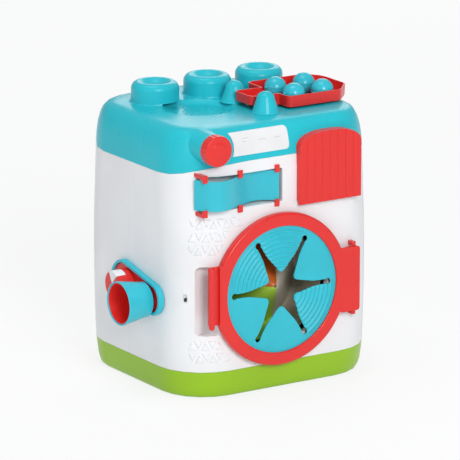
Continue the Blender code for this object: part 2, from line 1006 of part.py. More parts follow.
def top_cover():
    rings = list(reversed(cover_outside(wall, wall))) + cover_outside(0)
    obj = part("top_cover", loft(rings), teal)
    for i in (-1, 0, 1):
        place = (i * stud_spacing, stud_depth, 0)
        join(obj, turned(stud_profile(), place, steps=stud_steps), f"stud_{i + 2}")
        cut(obj, turned(stud_hollow(), place, steps=stud_steps // 2), f"stud_hollow_{i + 2}")
    join(obj, turned(basin_profile(wall), (basin_x, basin_y, 0)), "basin_bowl")
    cut(obj, turned(basin_profile(0), (basin_x, basin_y, 0)), "basin")
    cut(obj, slab([hopper_opening()], front - overrun, front + corner_radius / 2, "Y"), "hopper_opening")
    cut(obj, seam_block(0, 0), "seam")
    basin_grille(obj)
    tidy(obj)
    join(obj, on_front(dial_seat_profile(), dial_x, dial_z, 40), "dial_seat")
    inner = front + dial_sink + wall
    hollow = rod(dial_seat_radius - wall, inner, front + dial_seat_depth + overrun, (dial_x, 0, dial_z), "Y", 32)
    cut(obj, hollow, "seat_hollow")
    cut(obj, on_front(dial_recess_profile(), dial_x, dial_z, 40), "seat_recess")


def dial_seat_profile():
    """A boss that carries the dial where the cover's corner curves away."""
    top = -dial_sink + dial_seat_lip
    low = -dial_seat_depth
    return [(0, top), (dial_seat_radius, top), (dial_seat_foot_radius, low), (0, low)]


def dial_recess_profile():
    """Room for the dial's foot, and the hole its spindle goes through."""
    room = dial_radius + dial_seat_clearance
    bore = dial_spindle_radius + hinge_pin_clearance
    seat = -dial_sink
    deep = seat - wall - overrun
    return [(0, overrun), (room, overrun), (room, seat), (bore, seat), (bore, deep), (0, deep)]


def basin_grille(obj):
    floor = cover_top_height - basin_depth
    holes = []
    for x, y in basin_hole_places():
        place = (basin_x + x, basin_y + y, 0)
        holes.append(rod(basin_hole_radius, floor - 2 * wall, floor + overrun, place, steps=basin_hole_steps))
    cut(obj, merged(holes), "grille")


def label_plate():
    outline = filleted(
        [
            (label_left_x, label_low_z),
            (label_right_x, label_low_z),
            (label_right_x, label_high_z),
            (label_left_x, label_high_z),
        ],
        (label_corner_radius / 2, label_corner_radius, label_corner_radius, label_corner_radius / 2),
    )
    obj = part("label_plate", slab([outline], front - overrun, front + 8 * wall, "Y"), white)
    keep(obj, loft(hull_rings(-gap - label_thickness)), "outer_face")
    cut(obj, loft(hull_rings(-gap)), "cover_face")
    round_end = rod(label_hollow_radius, front - 2 * overrun, front + 8 * wall, (dial_x, 0, dial_z), "Y", 64)
    cut(obj, round_end, "dial_side")


def fluted(radius, depth, count, per_flute=3):
    points = []
    for i in range(count * per_flute):
        angle = 2 * math.pi * i / (count * per_flute)
        r = radius - depth * (1 - math.cos(angle * count)) / 2
        points.append((r * math.cos(angle), r * math.sin(angle)))
    return points


def shifted(outline, u, v):
    return [(a + u, b + v) for a, b in outline]


def dial():
    seat = front + dial_sink
    near = front - dial_proud
    hub = pivot("dial_axis", (dial_x, seat, dial_z))
    place = (dial_x, seat, dial_z)
    outline = shifted(fluted(dial_radius, dial_flute_depth, dial_flutes), dial_x, dial_z)
    knob = part("dial_knob", slab([outline], near, seat - gap, "Y", dial_edge / 2), red, place, hub)
    step = dial_cap_height
    cap = [(0, step), (dial_cap_radius - step, step), (dial_cap_radius, 0), (dial_cap_radius, -step), (0, -step)]
    join(knob, turned(cap, (dial_x, near, dial_z), "Y", 32), "cap")
    bore = rod(dial_spindle_radius + gap, seat - dial_bore_depth, seat + overrun, (dial_x, 0, dial_z), "Y")
    cut(knob, bore, "bore")
    inner = seat + wall + gap
    end = inner + 2 * click_wheel_thickness
    spindle = rod(dial_spindle_radius, seat - dial_bore_depth + gap, end, (dial_x, 0, dial_z), "Y")
    part("dial_spindle", spindle, white, place, hub)
    teeth = shifted(fluted(click_wheel_radius, click_tooth_depth, click_wheel_teeth), dial_x, dial_z)
    last = 360 - 360 / pin_steps
    hole = shifted(arc(0, 0, dial_spindle_radius + gap, 0, last, pin_steps - 1), dial_x, dial_z)
    wheel = slab([teeth, hole], inner, inner + click_wheel_thickness, "Y")
    part("click_wheel", wheel, white, place, hub)
    tip = dial_z - click_wheel_radius - gap
    side = pawl_length / 2
    low = tip - pawl_width
    pawl = [
        (dial_x - side, low),
        (dial_x + side, low),
        (dial_x + side, low + pawl_width / 2),
        (dial_x + pawl_width / 2, low + pawl_width / 2),
        (dial_x, tip),
        (dial_x - pawl_width / 2, low + pawl_width / 2),
        (dial_x - side, low + pawl_width / 2),
    ]
    part("click_pawl", slab([pawl], inner, inner + click_wheel_thickness, "Y"), white)


def wave_out(x):
    """How far the wave panel stands out of the front at x, by a smooth curve through its line's points."""
    last = len(wave_line) - 1
    i = sum(1 for px, _ in wave_line[1:last] if px <= x)
    (x0, y0), (x1, y1) = wave_line[i], wave_line[i + 1]
    slope0 = wave_slope(i)
    slope1 = wave_slope(i + 1)
    t = (x - x0) / (x1 - x0)
    rise = 3 * t**2 - 2 * t**3
    return y0 + (y1 - y0) * rise + (x1 - x0) * (slope0 * (t - 2 * t**2 + t**3) + slope1 * (t**3 - t**2))


def wave_slope(i):
    low = max(i - 1, 0)
    high = min(i + 1, len(wave_line) - 1)
    return (wave_line[high][1] - wave_line[low][1]) / (wave_line[high][0] - wave_line[low][0])


def wave_panel():
    xs = [wave_left_x + (wave_right_x - wave_left_x) * i / wave_samples for i in range(wave_samples + 1)]
    half = wave_thickness / 2
    near = []
    far = []
    for x in xs:
        run = Vector((overrun, wave_out(min(x + overrun, xs[-1])) - wave_out(max(x - overrun, xs[0])))).normalized()
        side = Vector((run.y, run.x)) * half
        near.append((x - side.x, front - wave_out(x) - side.y))
        far.append((x + side.x, front - wave_out(x) + side.y))
    part("wave_panel", slab([near + far[::-1]], wave_low_z, wave_high_z, "Z"), teal)


def wave_clips():
    """Six hooks, above and below the panel at its ends and its middle."""
    body_face = loft(hull_rings(-gap))
    for i in range(6):
        top = i < 3
        x = clip_places[i % 3]
        sign = 1 if top else -1
        edge_z = wave_high_z if top else wave_low_z
        out = max(wave_out(min(max(x + side * clip_width / 2, wave_left_x), wave_right_x)) for side in (-1, 0, 1))
        hook = front - out - wave_thickness / 2 - 2 * gap
        near = hook - clip_hook
        base = edge_z + sign * gap
        outer = edge_z + sign * (recess_margin + clip_height)
        profile = [
            (front + clip_root, base),
            (front + clip_root, outer),
            (near + clip_edge, outer),
            (near, outer - sign * clip_edge),
            (near, edge_z - sign * clip_hook),
            (hook, edge_z - sign * clip_hook),
            (hook, base),
        ]
        mesh = slab([profile], x - clip_width / 2, x + clip_width / 2, "X")
        clip = part(f"wave_clip_{i + 1}", mesh, red)
        cut(clip, body_face.copy(), "body_face")
        back_room = rounded(
            wave_left_x - recess_margin,
            wave_low_z - recess_margin - gap,
            wave_right_x + recess_right_margin + recess_margin,
            wave_high_z + recess_margin + gap,
            recess_margin,
            2,
        )
        cut(clip, slab([back_room], hook + wave_thickness + 2 * gap, front + 2 * clip_root, "Y"), "recess_room")


def hopper_outline(inset):
    """Flat foot and sides with an arched top that rounds over into the sides."""
    m = inset
    low_left = (hopper_left_x + m, hopper_low_z + m)
    low_right = (hopper_right_x - m, hopper_low_z + m)
    middle = (hopper_left_x + hopper_right_x) / 2
    half = (hopper_right_x - hopper_left_x) / 2 - m
    samples = 12
    arch = []
    for i in range(samples + 1):
        share = math.cos(math.pi * i / samples)
        rise = math.sqrt(1 - abs(share) ** hopper_arch_power)
        arch.append((middle + half * share, hopper_shoulder_z - m + (hopper_crown_z - hopper_shoulder_z) * rise))
    return [low_left, low_right] + arch


def hopper():
    axis = pivot("hopper_axis", (0, hopper_pivot_y, hopper_pivot_z))
    near = front - hopper_proud
    flap = part(
        "hopper_flap",
        slab([hopper_outline(0)], near, front + corner_radius / 4, "Y"),
        red,
        (0, hopper_pivot_y, hopper_pivot_z),
        axis,
    )
    cut(flap, loft(hull_rings(-2 * gap)), "body_face")
    cut(flap, slab([hopper_outline(wall)], near + wall, front + corner_radius, "Y"), "hollow")
    pitch = (hopper_right_x - hopper_left_x) / hopper_flutes
    for i in range(1, hopper_flutes):
        x = hopper_left_x + pitch * i
        place = (x, near - hopper_flute_depth / 2, 0)
        groove = rod(hopper_flute_depth * 2, hopper_low_z - overrun, hopper_crown_z + overrun, place, "Z", 8)
        cut(flap, groove, f"groove_{i}")
    relief_top = hopper_low_z + hopper_foot_relief_height
    side_relief = block(
        (hopper_left_x - overrun, front - hopper_foot_relief, hopper_low_z - overrun),
        (hopper_right_x + overrun, front + corner_radius / 2, relief_top),
    )
    cut(flap, side_relief, "side_relief")
    join(flap, hopper_bin(), "bin")
    cut(flap, hopper_bin_hollow(), "bin_hollow")
    pin_place = (0, hopper_pivot_y, hopper_pivot_z)
    cut(flap, rod(hopper_pin_radius + hinge_pin_clearance, 0, hopper_right_x, pin_place, "X"), "pin_bore")
    bin_left, bin_right = bin_sides(0)
    relief = block(
        (bin_left - gap, front - hopper_foot_relief, hopper_low_z - overrun),
        (bin_right + gap, front + hopper_foot_relief, relief_top),
    )
    cut(flap, relief, "foot_relief")
    left_lug, right_lug = hopper_lug_places()
    pin = rod(hopper_pin_radius, left_lug[0] + gap, right_lug[1] - gap, pin_place, "X")
    part("hopper_pin", pin, steel)


def hopper_lug_places():
    """The x ranges of the two lugs that hold the hopper's pin, just inside the opening's sides."""
    m = hopper_open_margin
    w = hopper_lug_width
    left_edge = hopper_left_x + m - 2 * gap
    right_edge = hopper_right_x - m + 2 * gap
    return (left_edge, left_edge + w), (right_edge - w, right_edge)


def add_hopper_lugs(shell_obj):
    r = hopper_lug_radius
    y = hopper_pivot_y
    low = hopper_pivot_z - r
    high = hopper_pivot_z + r
    left_lug, right_lug = hopper_lug_places()
    for name, (start, end), root in (
        ("left", left_lug, left_lug[0] - hopper_lug_reach),
        ("right", right_lug, right_lug[1] + hopper_lug_reach),
    ):
        foot = front + face_depth(root, hopper_pivot_z) + wall / 2
        back_y = foot + 2 * wall
        join(shell_obj, rod(r, start, end, (0, y, hopper_pivot_z), "X"), f"{name}_lug")
        join(shell_obj, block((start, y, low), (end, back_y, high)), f"{name}_arm")
        near_x, far_x = sorted((root, start if name == "right" else end))
        join(shell_obj, block((near_x, foot, low + gap), (far_x, back_y - gap, high - gap)), f"{name}_root")
        bore_radius = hopper_pin_radius + hinge_pin_clearance / 2
        bore = rod(bore_radius, start - gap, end + gap, (0, y, hopper_pivot_z), "X")
        cut(shell_obj, bore, f"{name}_pin_bore")


def bin_outline(inset):
    """Side view (y, z) of the bin behind the flap."""
    y = hopper_pivot_y
    z = hopper_pivot_z
    deep = hopper_bin_depth - inset
    foot = z - (hopper_pivot_z - hopper_low_z) / 2 + inset
    near = front - hopper_proud + wall / 2 if not inset else front - hopper_proud + wall
    top = z + hopper_bin_height + (overrun if inset else 0)
    far = y + deep
    turn = y + deep * hopper_bin_foot_share
    return [(near, foot), (turn, foot), (far, foot + deep / 2), (far, top - deep / 4), (near, top)]


def bin_sides(inset):
    side = hopper_open_margin + wall
    return hopper_left_x + side + inset, hopper_right_x - side - inset


def hopper_bin():
    low, high = bin_sides(0)
    return slab([bin_outline(0)], low, high, "X")


def hopper_bin_hollow():
    low, high = bin_sides(thin_wall)
    return slab([bin_outline(thin_wall)], low, high, "X")


def ring_profile():
    """Outside of the door ring as (radius, distance in front of the body)."""
    e = ring_edge
    edge = [(x, y) for x, y in reversed(arc(ring_outer_radius - e, ring_proud - e, e, 0, 90, 4))]
    return [(0, ring_proud)] + edge + [(ring_outer_radius, ring_back), (0, ring_back)]


def ring_bore():
    """What the ring is bored out to: seats for the clamp's flange and for the membrane, then the mouth."""
    seat = membrane_back + membrane_thickness + gap
    inside = membrane_radius + 2 * gap
    flange_radius = retainer_outer_radius + 2 * gap
    flange_top = ring_back + retainer_flange + 2 * gap
    e = ring_edge
    return [
        (0, ring_proud + overrun),
        (ring_inner_radius + e / 2 + overrun, ring_proud + overrun),
        (ring_inner_radius, ring_proud - e / 2),
        (ring_inner_radius, seat),
        (inside, seat),
        (inside, flange_top),
        (flange_radius, flange_top),
        (flange_radius, -overrun),
        (0, -overrun),
    ]


def retainer_profile():
    high = membrane_back - gap
    flange = ring_back + retainer_flange
    inner = membrane_radius - clamp_lap
    return [
        (inner, ring_back),
        (inner, high),
        (membrane_radius, high),
        (membrane_radius, flange),
        (retainer_outer_radius, flange),
        (retainer_outer_radius, ring_back),
    ]


def slit_outline():
    """The star: long arms with round ends, and round petal tips between them."""
    points = []
    step = 360 / slit_arms
    for i in range(slit_arms):
        angle = math.radians(step * i)
        along = Vector((math.cos(angle), math.sin(angle)))
        across = Vector((-along.y, along.x))
        tip = along * (slit_tip_radius - slit_tip_width / 2)
        widths = (
            (slit_root_reach, slit_root_width),
            (slit_flare_reach, slit_flare_width),
            (slit_neck_reach, slit_neck_width),
        )
        arm = [along * reach - across * width / 2 for reach, width in widths]
        base = math.degrees(angle)
        wide = slit_tip_half_angle
        arm += [tip + Vector(p) for p in arc(0, 0, slit_tip_width / 2, base - wide, base + wide, 6)]
        arm += [along * reach + across * width / 2 for reach, width in reversed(widths)]
        points += [tuple(p) for p in arm]
        middle = math.radians(step * i + step / 2)
        petal = Vector((math.cos(middle), math.sin(middle))) * (petal_tip_radius + petal_tip_round)
        turn = math.degrees(middle) + 180
        spread = petal_tip_half_angle
        points += [tuple(petal + Vector(p)) for p in arc(0, 0, petal_tip_round, turn + spread, turn - spread, 5)]
    return points


def membrane_profile():
    """Section of the membrane before its star is cut: a flat disc."""
    back_face = membrane_back
    face = membrane_back + membrane_thickness
    return [(0, face), (membrane_radius, face), (membrane_radius, back_face), (0, back_face)]


def on_front(profile, x, z, steps=round_steps, closed=False):
    """Turns a section given as (radius, distance in front of the body) round an axis along Y."""
    return turned([(r, d - front) for r, d in profile], (x, 0, z), "Y", steps, closed)


def door():
    axis = pivot("door_axis", (hinge_x, hinge_y, door_z))
    place = (hinge_x, hinge_y, door_z)
    ring = part("door_ring", on_front(ring_profile(), door_x, door_z, ring_steps), red, place, axis)
    tab_right = door_x - ring_inner_radius - ring_edge
    tab = rounded(handle_x, handle_low_z, tab_right, handle_high_z, ring_edge)
    tab_low = ring_proud - handle_tab_thickness
    join(ring, slab([tab], front - ring_proud - gap, front - tab_low, "Y"), "handle_tab")
    bar = handle_profile()
    join(ring, slab([bar], handle_low_z - ring_edge, handle_high_z - gap, "Z", ring_edge / 3), "handle_bar")
    tidy(ring)
    plate_left = door_x + ring_inner_radius + ring_edge
    plate = rounded(plate_left, hinge_low_z, hinge_plate_right_x, hinge_high_z, ring_edge / 2)
    join(ring, slab([plate], front - ring_proud - 2 * gap, front - tab_low, "Y"), "hinge_plate")
    tidy(ring)
    barrel = rod(hinge_barrel_radius, hinge_low_z, hinge_high_z, (hinge_x, hinge_y, 0), "Z", 20)
    join(ring, barrel, "barrel")
    tidy(ring)
    cut(ring, on_front(ring_bore(), door_x, door_z, ring_steps), "opening")
    tidy(ring)
    bore_radius = hinge_pin_radius + hinge_pin_clearance
    bore = rod(bore_radius, hinge_low_z - overrun, hinge_high_z + overrun, (hinge_x, hinge_y, 0), "Z")
    cut(ring, bore, "pin_bore")
    disc = on_front(membrane_profile(), door_x, door_z, ring_steps)
    membrane = part("door_membrane", disc, rubber, place, axis)
    star = shifted(slit_outline(), door_x, door_z)
    cut(membrane, slab([star], front - 2 * ring_proud, front + ring_proud, "Y"), "star")
    clamp = on_front(retainer_profile(), door_x, door_z, ring_steps, True)
    part("membrane_retainer", clamp, red, place, axis)


def handle_profile():
    """Plan section (x, y) of the grip: a rounded bar standing in front of its tab."""
    r = handle_bar_radius
    near = front - handle_proud
    far = front - ring_proud + handle_tab_thickness
    corners = [(handle_x - r, near), (handle_x + r, near), (handle_x + r, far), (handle_x - r, far)]
    near_corner = r * handle_near_corner_share
    far_corner = r * handle_far_corner_share
    return filleted(corners, (near_corner, near_corner, far_corner, far_corner), 3)


def knuckles():
    for name, low, high in (
        ("lower", hinge_low_z - gap - hinge_knuckle_height, hinge_low_z - gap),
        ("upper", hinge_high_z + gap, hinge_high_z + gap + hinge_knuckle_height),
    ):
        body = rod(hinge_barrel_radius, low, high, (hinge_x, hinge_y, 0), "Z", 20)
        obj = part(f"hinge_knuckle_{name}", body, red)
        foot = block(
            (hinge_x - hinge_barrel_radius, hinge_y, low),
            (hinge_x + hinge_barrel_radius, front + corner_radius / 8, high),
        )
        join(obj, foot, "foot")
        cut(obj, loft(hull_rings(-gap)), "body_face")
        bore_radius = hinge_pin_radius + hinge_pin_clearance
        cut(obj, rod(bore_radius, low - overrun, high + overrun, (hinge_x, hinge_y, 0), "Z"), "pin_bore")
    low = hinge_low_z - hinge_knuckle_height
    high = hinge_high_z + hinge_knuckle_height
    part("hinge_pin", rod(hinge_pin_radius, low, high, (hinge_x, hinge_y, 0)), steel)


def drum_section():
    """Section of one sector as (radius, y): inner face from the nose to the rim, then back along the outside."""
    nose_y = drum_front_y - drum_apex_set
    t = drum_wall
    r = drum_radius
    f = drum_foot_round
    base = drum_back_y
    tip = drum_apex_radius * drum_tip_share
    nose_back_y = nose_y + drum_apex_radius * drum_nose_share
    cone_wall, tip_wall = [share * t for share in drum_cone_wall_shares]
    inner = [(tip, nose_y), (drum_apex_radius, nose_back_y)]
    inner += [(r - t - u * f, base - t - v * f) for u, v in drum_foot_inner_shares]
    inner += [(r - t, drum_front_y)]
    outer = [
        (r, drum_front_y),
        (r, base - f / 2),
        (r - f / 2, base),
        (r - t - drum_foot_outer_share * f, base),
        (drum_apex_radius * drum_nose_back_share, nose_back_y + cone_wall),
        (tip, nose_y + drum_apex_radius * drum_tip_back_share + tip_wall),
    ]
    return inner + outer


def drum_sector(index):
    step = 360 / drum_sectors
    spare = drum_sector_spare
    bm = bmesh.new()
    verts = [bm.verts.new((r, 0, -y)) for r, y in drum_section()]
    face = bm.faces.new(verts)
    geometry = list(verts) + list(face.edges) + [face]
    start = drum_sector_start + step * index + spare / 2
    bmesh.ops.rotate(bm, verts=verts, cent=(0, 0, 0), matrix=Matrix.Rotation(math.radians(start), 3, "Z"))
    bmesh.ops.spin(
        bm, geom=geometry, cent=(0, 0, 0), axis=(0, 0, 1), angle=math.radians(step - spare), steps=drum_sector_steps
    )
    mesh = bpy.data.meshes.new("sector")
    bm.to_mesh(mesh)
    bm.free()
    mesh = finish(mesh)
    mesh.transform(Matrix.Translation((door_x, 0, door_z)) @ axes["Y"])
    return finish(mesh)


def drum():
    place = (door_x, drum_back_y, door_z)
    axis = pivot("drum_axis", place)
    for index, (name, material) in enumerate((("orange", orange), ("green", green), ("grey", grey))):
        part(f"drum_sector_{name}", drum_sector(index), material, place, axis)
    low = drum_back_y + gap
    plate = low + drum_plate_thickness
    hub = plate + drum_hub_length
    bore = drum_axle_radius + drum_axle_clearance
    profile = [
        (bore, -low),
        (drum_radius, -low),
        (drum_radius, -plate),
        (drum_hub_radius, -plate),
        (drum_hub_radius, -hub),
        (bore, -hub),
    ]
    part("drum_back", turned(profile, (door_x, 0, door_z), "Y", closed=True), white, place, axis)
    carrier_low = drum_carrier_y()
    carrier_high = carrier_low + carrier_thickness
    boss = carrier_high + drum_hub_length
    section = [
        (bore, -carrier_low),
        (carrier_radius, -carrier_low),
        (carrier_radius, -carrier_high),
        (drum_hub_radius, -carrier_high),
        (drum_hub_radius, -boss),
        (bore, -boss),
    ]
    half_step = 180 / round_steps
    disc = turned(section, (door_x, 0, door_z), "Y", closed=True, start=half_step)
    carrier = part("drum_carrier", disc, white)
    for i in range(carrier_posts):
        angle = math.radians(360 * i / carrier_posts)
        x = door_x + carrier_window_reach * math.cos(angle)
        z = door_z + carrier_window_reach * math.sin(angle)
        window = rod(carrier_window_radius, carrier_low - overrun, carrier_high + overrun, (x, 0, z), "Y", 24)
        cut(carrier, window, f"window_{i}")
    axle = rod(drum_axle_radius, drum_back_y - overrun, boss, (door_x, 0, door_z), "Y")
    part("drum_axle", axle, steel)


def tray_outline(inset, z):
    """Plan of the tray: a wide pan with a narrower neck towards the posts."""
    n = tray_neck_half_width - inset
    left_x = tray_left_x + inset
    right_x = tray_right_x - inset
    pan_x = tray_neck_x + inset
    low = tray_front_y + inset
    high = tray_back_y - inset
    mid = tray_mid_y
    cut_x = tray_right_x - tray_corner_radius
    corners = [
        (left_x, mid - n),
        (pan_x, mid - n),
        (pan_x, low),
        (cut_x, low - 2 * inset / 5),
        (right_x, low + tray_corner_radius),
        (right_x, high),
        (pan_x, high),
        (pan_x, mid + n),
        (left_x, mid + n),
    ]
    r = tray_neck_corner_radius
    big = tray_corner_radius
    radii = (r, r / 3, r, big / 2, big / 2, tray_back_corner_radius - inset, r, r / 3, r)
    return [(x, y, z) for x, y in filleted(corners, radii, 4)]


def tray_rings(inset, low, high, low_extra):
    """Walls lean out by the draft, and the neck's end turns up."""
    rings = []
    for share in (0, 0.5, 1):
        lean = tray_draft * (1 - share) + inset + (low_extra if share == 0 else 0)
        ring = tray_outline(lean, low + (high - low) * share)
        if share == 0:
            ring = [(x, y, z + neck_rise(x)) for x, y, z in ring]
        else:
            lift = tray_lip_rise / tray_wall_height * share
            ring = [(x, y, z + neck_rise(x) * lift) for x, y, z in ring]
        rings.append(ring)
    return rings


def neck_rise(x):
    """The floor of the neck climbs towards its end."""
    share = min(max((tray_neck_x - x) / (tray_neck_x - tray_left_x), 0), 1)
    return tray_lip_rise * share**2


def tray():
    place = (post_x, tray_mid_y, pivot_z)
    axis = pivot("tray_axis", place)
    low = tray_floor_z
    high = low + tray_wall_height
    obj = part("tray", loft(tray_rings(0, low, high, 0.0)), red, place, axis)
    inner = tray_rings(thin_wall, low + thin_wall, high + overrun, 0.0)
    cut(obj, loft(inner), "hollow")
    stub_front = front_post_y + post_top_radius + wall
    stub_back = back_post_y - post_top_radius - wall
    reach = pivot_hole_depth
    neck_low = tray_mid_y - tray_neck_half_width
    neck_high = tray_mid_y + tray_neck_half_width
    line = (post_x, 0, pivot_z)
    join(obj, rod(pivot_stub_radius, stub_front - reach, neck_low + thin_wall, line, "Y"), "front_stub")
    join(obj, rod(pivot_stub_radius, neck_high - thin_wall, stub_back + reach, line, "Y"), "back_stub")
    for i, (x, y) in enumerate(ball_places()):
        cut(obj, rod(tray_seat_radius, low - overrun, low + 2 * thin_wall, (x, y, 0), "Z", 24), f"seat_{i}")
    foot_x = ball_left_x + ball_spacing / 2
    for i, y in enumerate((ball_front_y, ball_front_y + ball_spacing)):
        foot = rod(tray_foot_radius, cover_top_height + gap, low + thin_wall / 2, (foot_x, y, 0), "Z")
        join(obj, foot, f"foot_{i}")
    return axis


def ball_places():
    places = []
    for row in range(2):
        for column in range(2):
            places.append((ball_left_x + column * ball_spacing, ball_front_y + row * ball_spacing))
    return places


def ball_centre_z():
    rest = tray_floor_z + thin_wall
    return rest + gap + math.sqrt(ball_radius**2 - tray_seat_radius**2)


def balls(parent):
    z = ball_centre_z()
    for i, (x, y) in enumerate(ball_places()):
        mesh = bpy.data.meshes.new("ball")
        bm = bmesh.new()
        bmesh.ops.create_uvsphere(bm, u_segments=ball_segments, v_segments=ball_rings, radius=ball_radius)
        bm.to_mesh(mesh)
        bm.free()
        finish(mesh, 60)
        mesh.transform(Matrix.Translation((x, y, z)))
        obj = part(f"ball_{i + 1}", mesh, teal, (x, y, z), parent)
        side = -1 if i % 2 == 0 else 1
        start = x + side * (ball_radius - ball_nub_radius)
        end = x + side * (ball_radius + ball_nub_radius)
        nub = rod(ball_nub_radius, start, end, (0, y, z + ball_nub_radius), "X", 8)
        join(obj, nub, "nub")


def lobes(inset):
    """Two circles joined by common tangents, as (y, z)."""
    a = Vector((lobe_a_y, lobe_a_z))
    b = Vector((lobe_b_y, lobe_b_z))
    ra = lobe_a_radius - inset
    rb = lobe_b_radius - inset
    away = b - a
    heading = math.degrees(math.atan2(away.y, away.x))
    spread = math.degrees(math.acos((ra - rb) / away.length))
    waist = lobe_waist_angle
    first = arc(a.x, a.y, ra, heading + spread + waist / 2, heading + 360 - spread - waist / 2, 20)
    second = arc(b.x, b.y, rb, heading - spread + waist / 2, heading + spread - waist / 2, 18)
    return first + second


def side_unit():
    out = left - bezel_proud
    bezel = part("side_bezel", slab([lobes(0), lobes(bezel_rim)], out, left - gap, "X", bezel_edge / 2), teal)
    face_low = left - face_proud
    face = part("side_face", slab([lobes(bezel_rim + gap)], face_low, face_low + face_thickness, "X"), red)
    back_rim = lobes(bezel_rim + gap)
    inner_rim = lobes(bezel_rim + gap + thin_wall)
    skirt = slab([back_rim, inner_rim], face_low + face_thickness / 2, left - gap, "X")
    join(face, skirt, "skirt")
    cup_low = out - gap
    rim = cup_low - cup_length
    t = cup_wall
    bulge = cup_foot_radius + (cup_rim_radius - cup_foot_radius) * cup_bulge_share
    waist = cup_low - cup_length * cup_bulge_share
    heel = cup_low - cup_length * cup_heel_share
    cup = [
        (0, face_low - gap),
        (cup_stem_radius, face_low - gap),
        (cup_stem_radius, cup_low),
        (cup_foot_radius - t, cup_low),
        (cup_foot_radius, cup_low - t),
        (cup_foot_radius, heel),
        (bulge, waist),
        (cup_rim_radius, rim + t),
        (cup_rim_radius, rim + t / 3),
        (cup_rim_radius - t / 2, rim),
        (cup_rim_radius - t, rim + t / 3),
        (bulge - t, waist),
        (cup_foot_radius - t, heel),
        (cup_foot_radius - t, cup_low - t),
        (0, cup_low - t),
    ]
    part("side_cup", turned(cup[::-1], (0, cup_y, cup_z), "X", round_steps), teal)
    g = gap + t
    s = liner_wall
    foot = cup_foot_radius - g
    mouth = cup_rim_radius - g
    floor = cup_low - t - gap
    liner = [
        (0, floor - s),
        (foot - s, floor - s),
        (foot - s, heel),
        (bulge - g - s, waist),
        (mouth - s, rim + t),
        (mouth, rim + t),
        (bulge - g, waist),
        (foot, heel),
        (foot, floor),
        (0, floor),
    ]
    part("cup_liner", turned(liner, (0, cup_y, cup_z), "X", round_steps), red)
    spinner(face, face_low)


def spinner(face, face_low):
    place = (face_low, spinner_y, spinner_z)
    axis = pivot("spinner_axis", place)
    low = face_low - gap
    out = face_low - spinner_depth
    e = spinner_edge
    profile = [
        (0, low),
        (spinner_radius - e / 2, low),
        (spinner_radius, low - e / 2),
        (spinner_radius, out + e),
        (spinner_radius - e / 3, out + e / 3),
        (spinner_radius - e, out),
        (0, out),
    ]
    knob = part("spinner_knob", turned(profile, (0, spinner_y, spinner_z), "X", 40), red, place, axis)
    reach = spinner_radius + overrun
    notch = wedge_outline(reach, 0)
    deep = out + spinner_depth * wedge_depth_share
    cut(knob, slab([notch], out - overrun, deep, "X"), "notch")
    wedge = wedge_outline(spinner_radius - gap, gap)
    mesh = slab([wedge], out - wedge_proud, deep - gap, "X", wedge_proud / 2)
    part("spinner_wedge", mesh, white, place, axis)
    hole = rod(spinner_spindle_radius + hinge_pin_clearance, left, out, (0, spinner_y, spinner_z), "X")
    cut(face, hole, "spindle_hole")
    stem = rod(spinner_spindle_radius, low - wall, left - 2 * gap, (0, spinner_y, spinner_z), "X")
    join(knob, stem, "spindle")


def wedge_outline(radius, inset):
    start = wedge_middle - wedge_half_angle
    end = wedge_middle + wedge_half_angle
    middle = math.radians(wedge_middle)
    set_off = spinner_radius * wedge_tip_share + inset / math.sin(math.radians(wedge_half_angle))
    tip = (spinner_y + set_off * math.cos(middle), spinner_z + set_off * math.sin(middle))
    trim = math.degrees(inset / radius)
    return [tip] + arc(spinner_y, spinner_z, radius, start + trim, end - trim, 8)


def switch_frame_matrix():
    """Axes on the corner of the body: u along the wall, v up, w into the body."""
    angle = math.radians(switch_angle)
    radius = corner_radius_at(switch_z)
    out = Vector((-math.cos(angle), -math.sin(angle), 0))
    centre = Vector((left + radius, front + radius, switch_z)) + out * radius
    along = Vector((0, 0, 1)).cross(out)
    matrix = Matrix.Identity(4)
    matrix.col[0] = (*along, 0)
    matrix.col[1] = (0, 0, 1, 0)
    matrix.col[2] = (*(along.cross(Vector((0, 0, 1)))), 0)
    return Matrix.Translation(centre) @ matrix, out, centre


def pill(width, height):
    r = width / 2
    return arc(0, height / 2 - r, r, 0, 180, 6) + arc(0, -(height / 2 - r), r, 180, 360, 6)


def switch_pill(width, height, start, end):
    mesh = slab([pill(width, height)], start, end, "Z")
    matrix, out, _ = switch_frame_matrix()
    inward = matrix.col[2].to_3d().dot(out) < 0
    if not inward:
        mesh.transform(Matrix.Scale(-1, 4, (0, 0, 1)))
    mesh.transform(matrix)
    return finish(mesh)


def slide_switch():
    width = switch_width - 2 * gap
    height = switch_height - 2 * gap
    frame = part("switch_frame", switch_pill(width, height, switch_rim, switch_depth), black)
    well_width = width - 2 * switch_rim
    floor = switch_depth - switch_rim
    cut(frame, switch_pill(well_width, height - 2 * switch_rim, -overrun, floor), "well")
    _, _, centre = switch_frame_matrix()
    drop = (height - 2 * switch_rim - slider_height) / 2 - gap
    mesh = switch_pill(well_width - 2 * gap, slider_height, switch_rim / 2, floor - gap)
    mesh.transform(Matrix.Translation((0, 0, -drop)))
    part("switch_slider", mesh, black, (centre.x, centre.y, centre.z - drop))


def sound_unit():
    floor = cover_top_height - basin_depth - wall - gap
    profile = [
        (0, floor),
        (speaker_radius, floor),
        (speaker_radius, floor - speaker_depth / 4),
        (speaker_radius * speaker_magnet_share, floor - speaker_depth * speaker_cone_share),
        (speaker_radius * speaker_magnet_share, floor - speaker_depth),
        (0, floor - speaker_depth),
    ]
    part("speaker", turned(profile, (basin_x, basin_y, 0), steps=24), black)


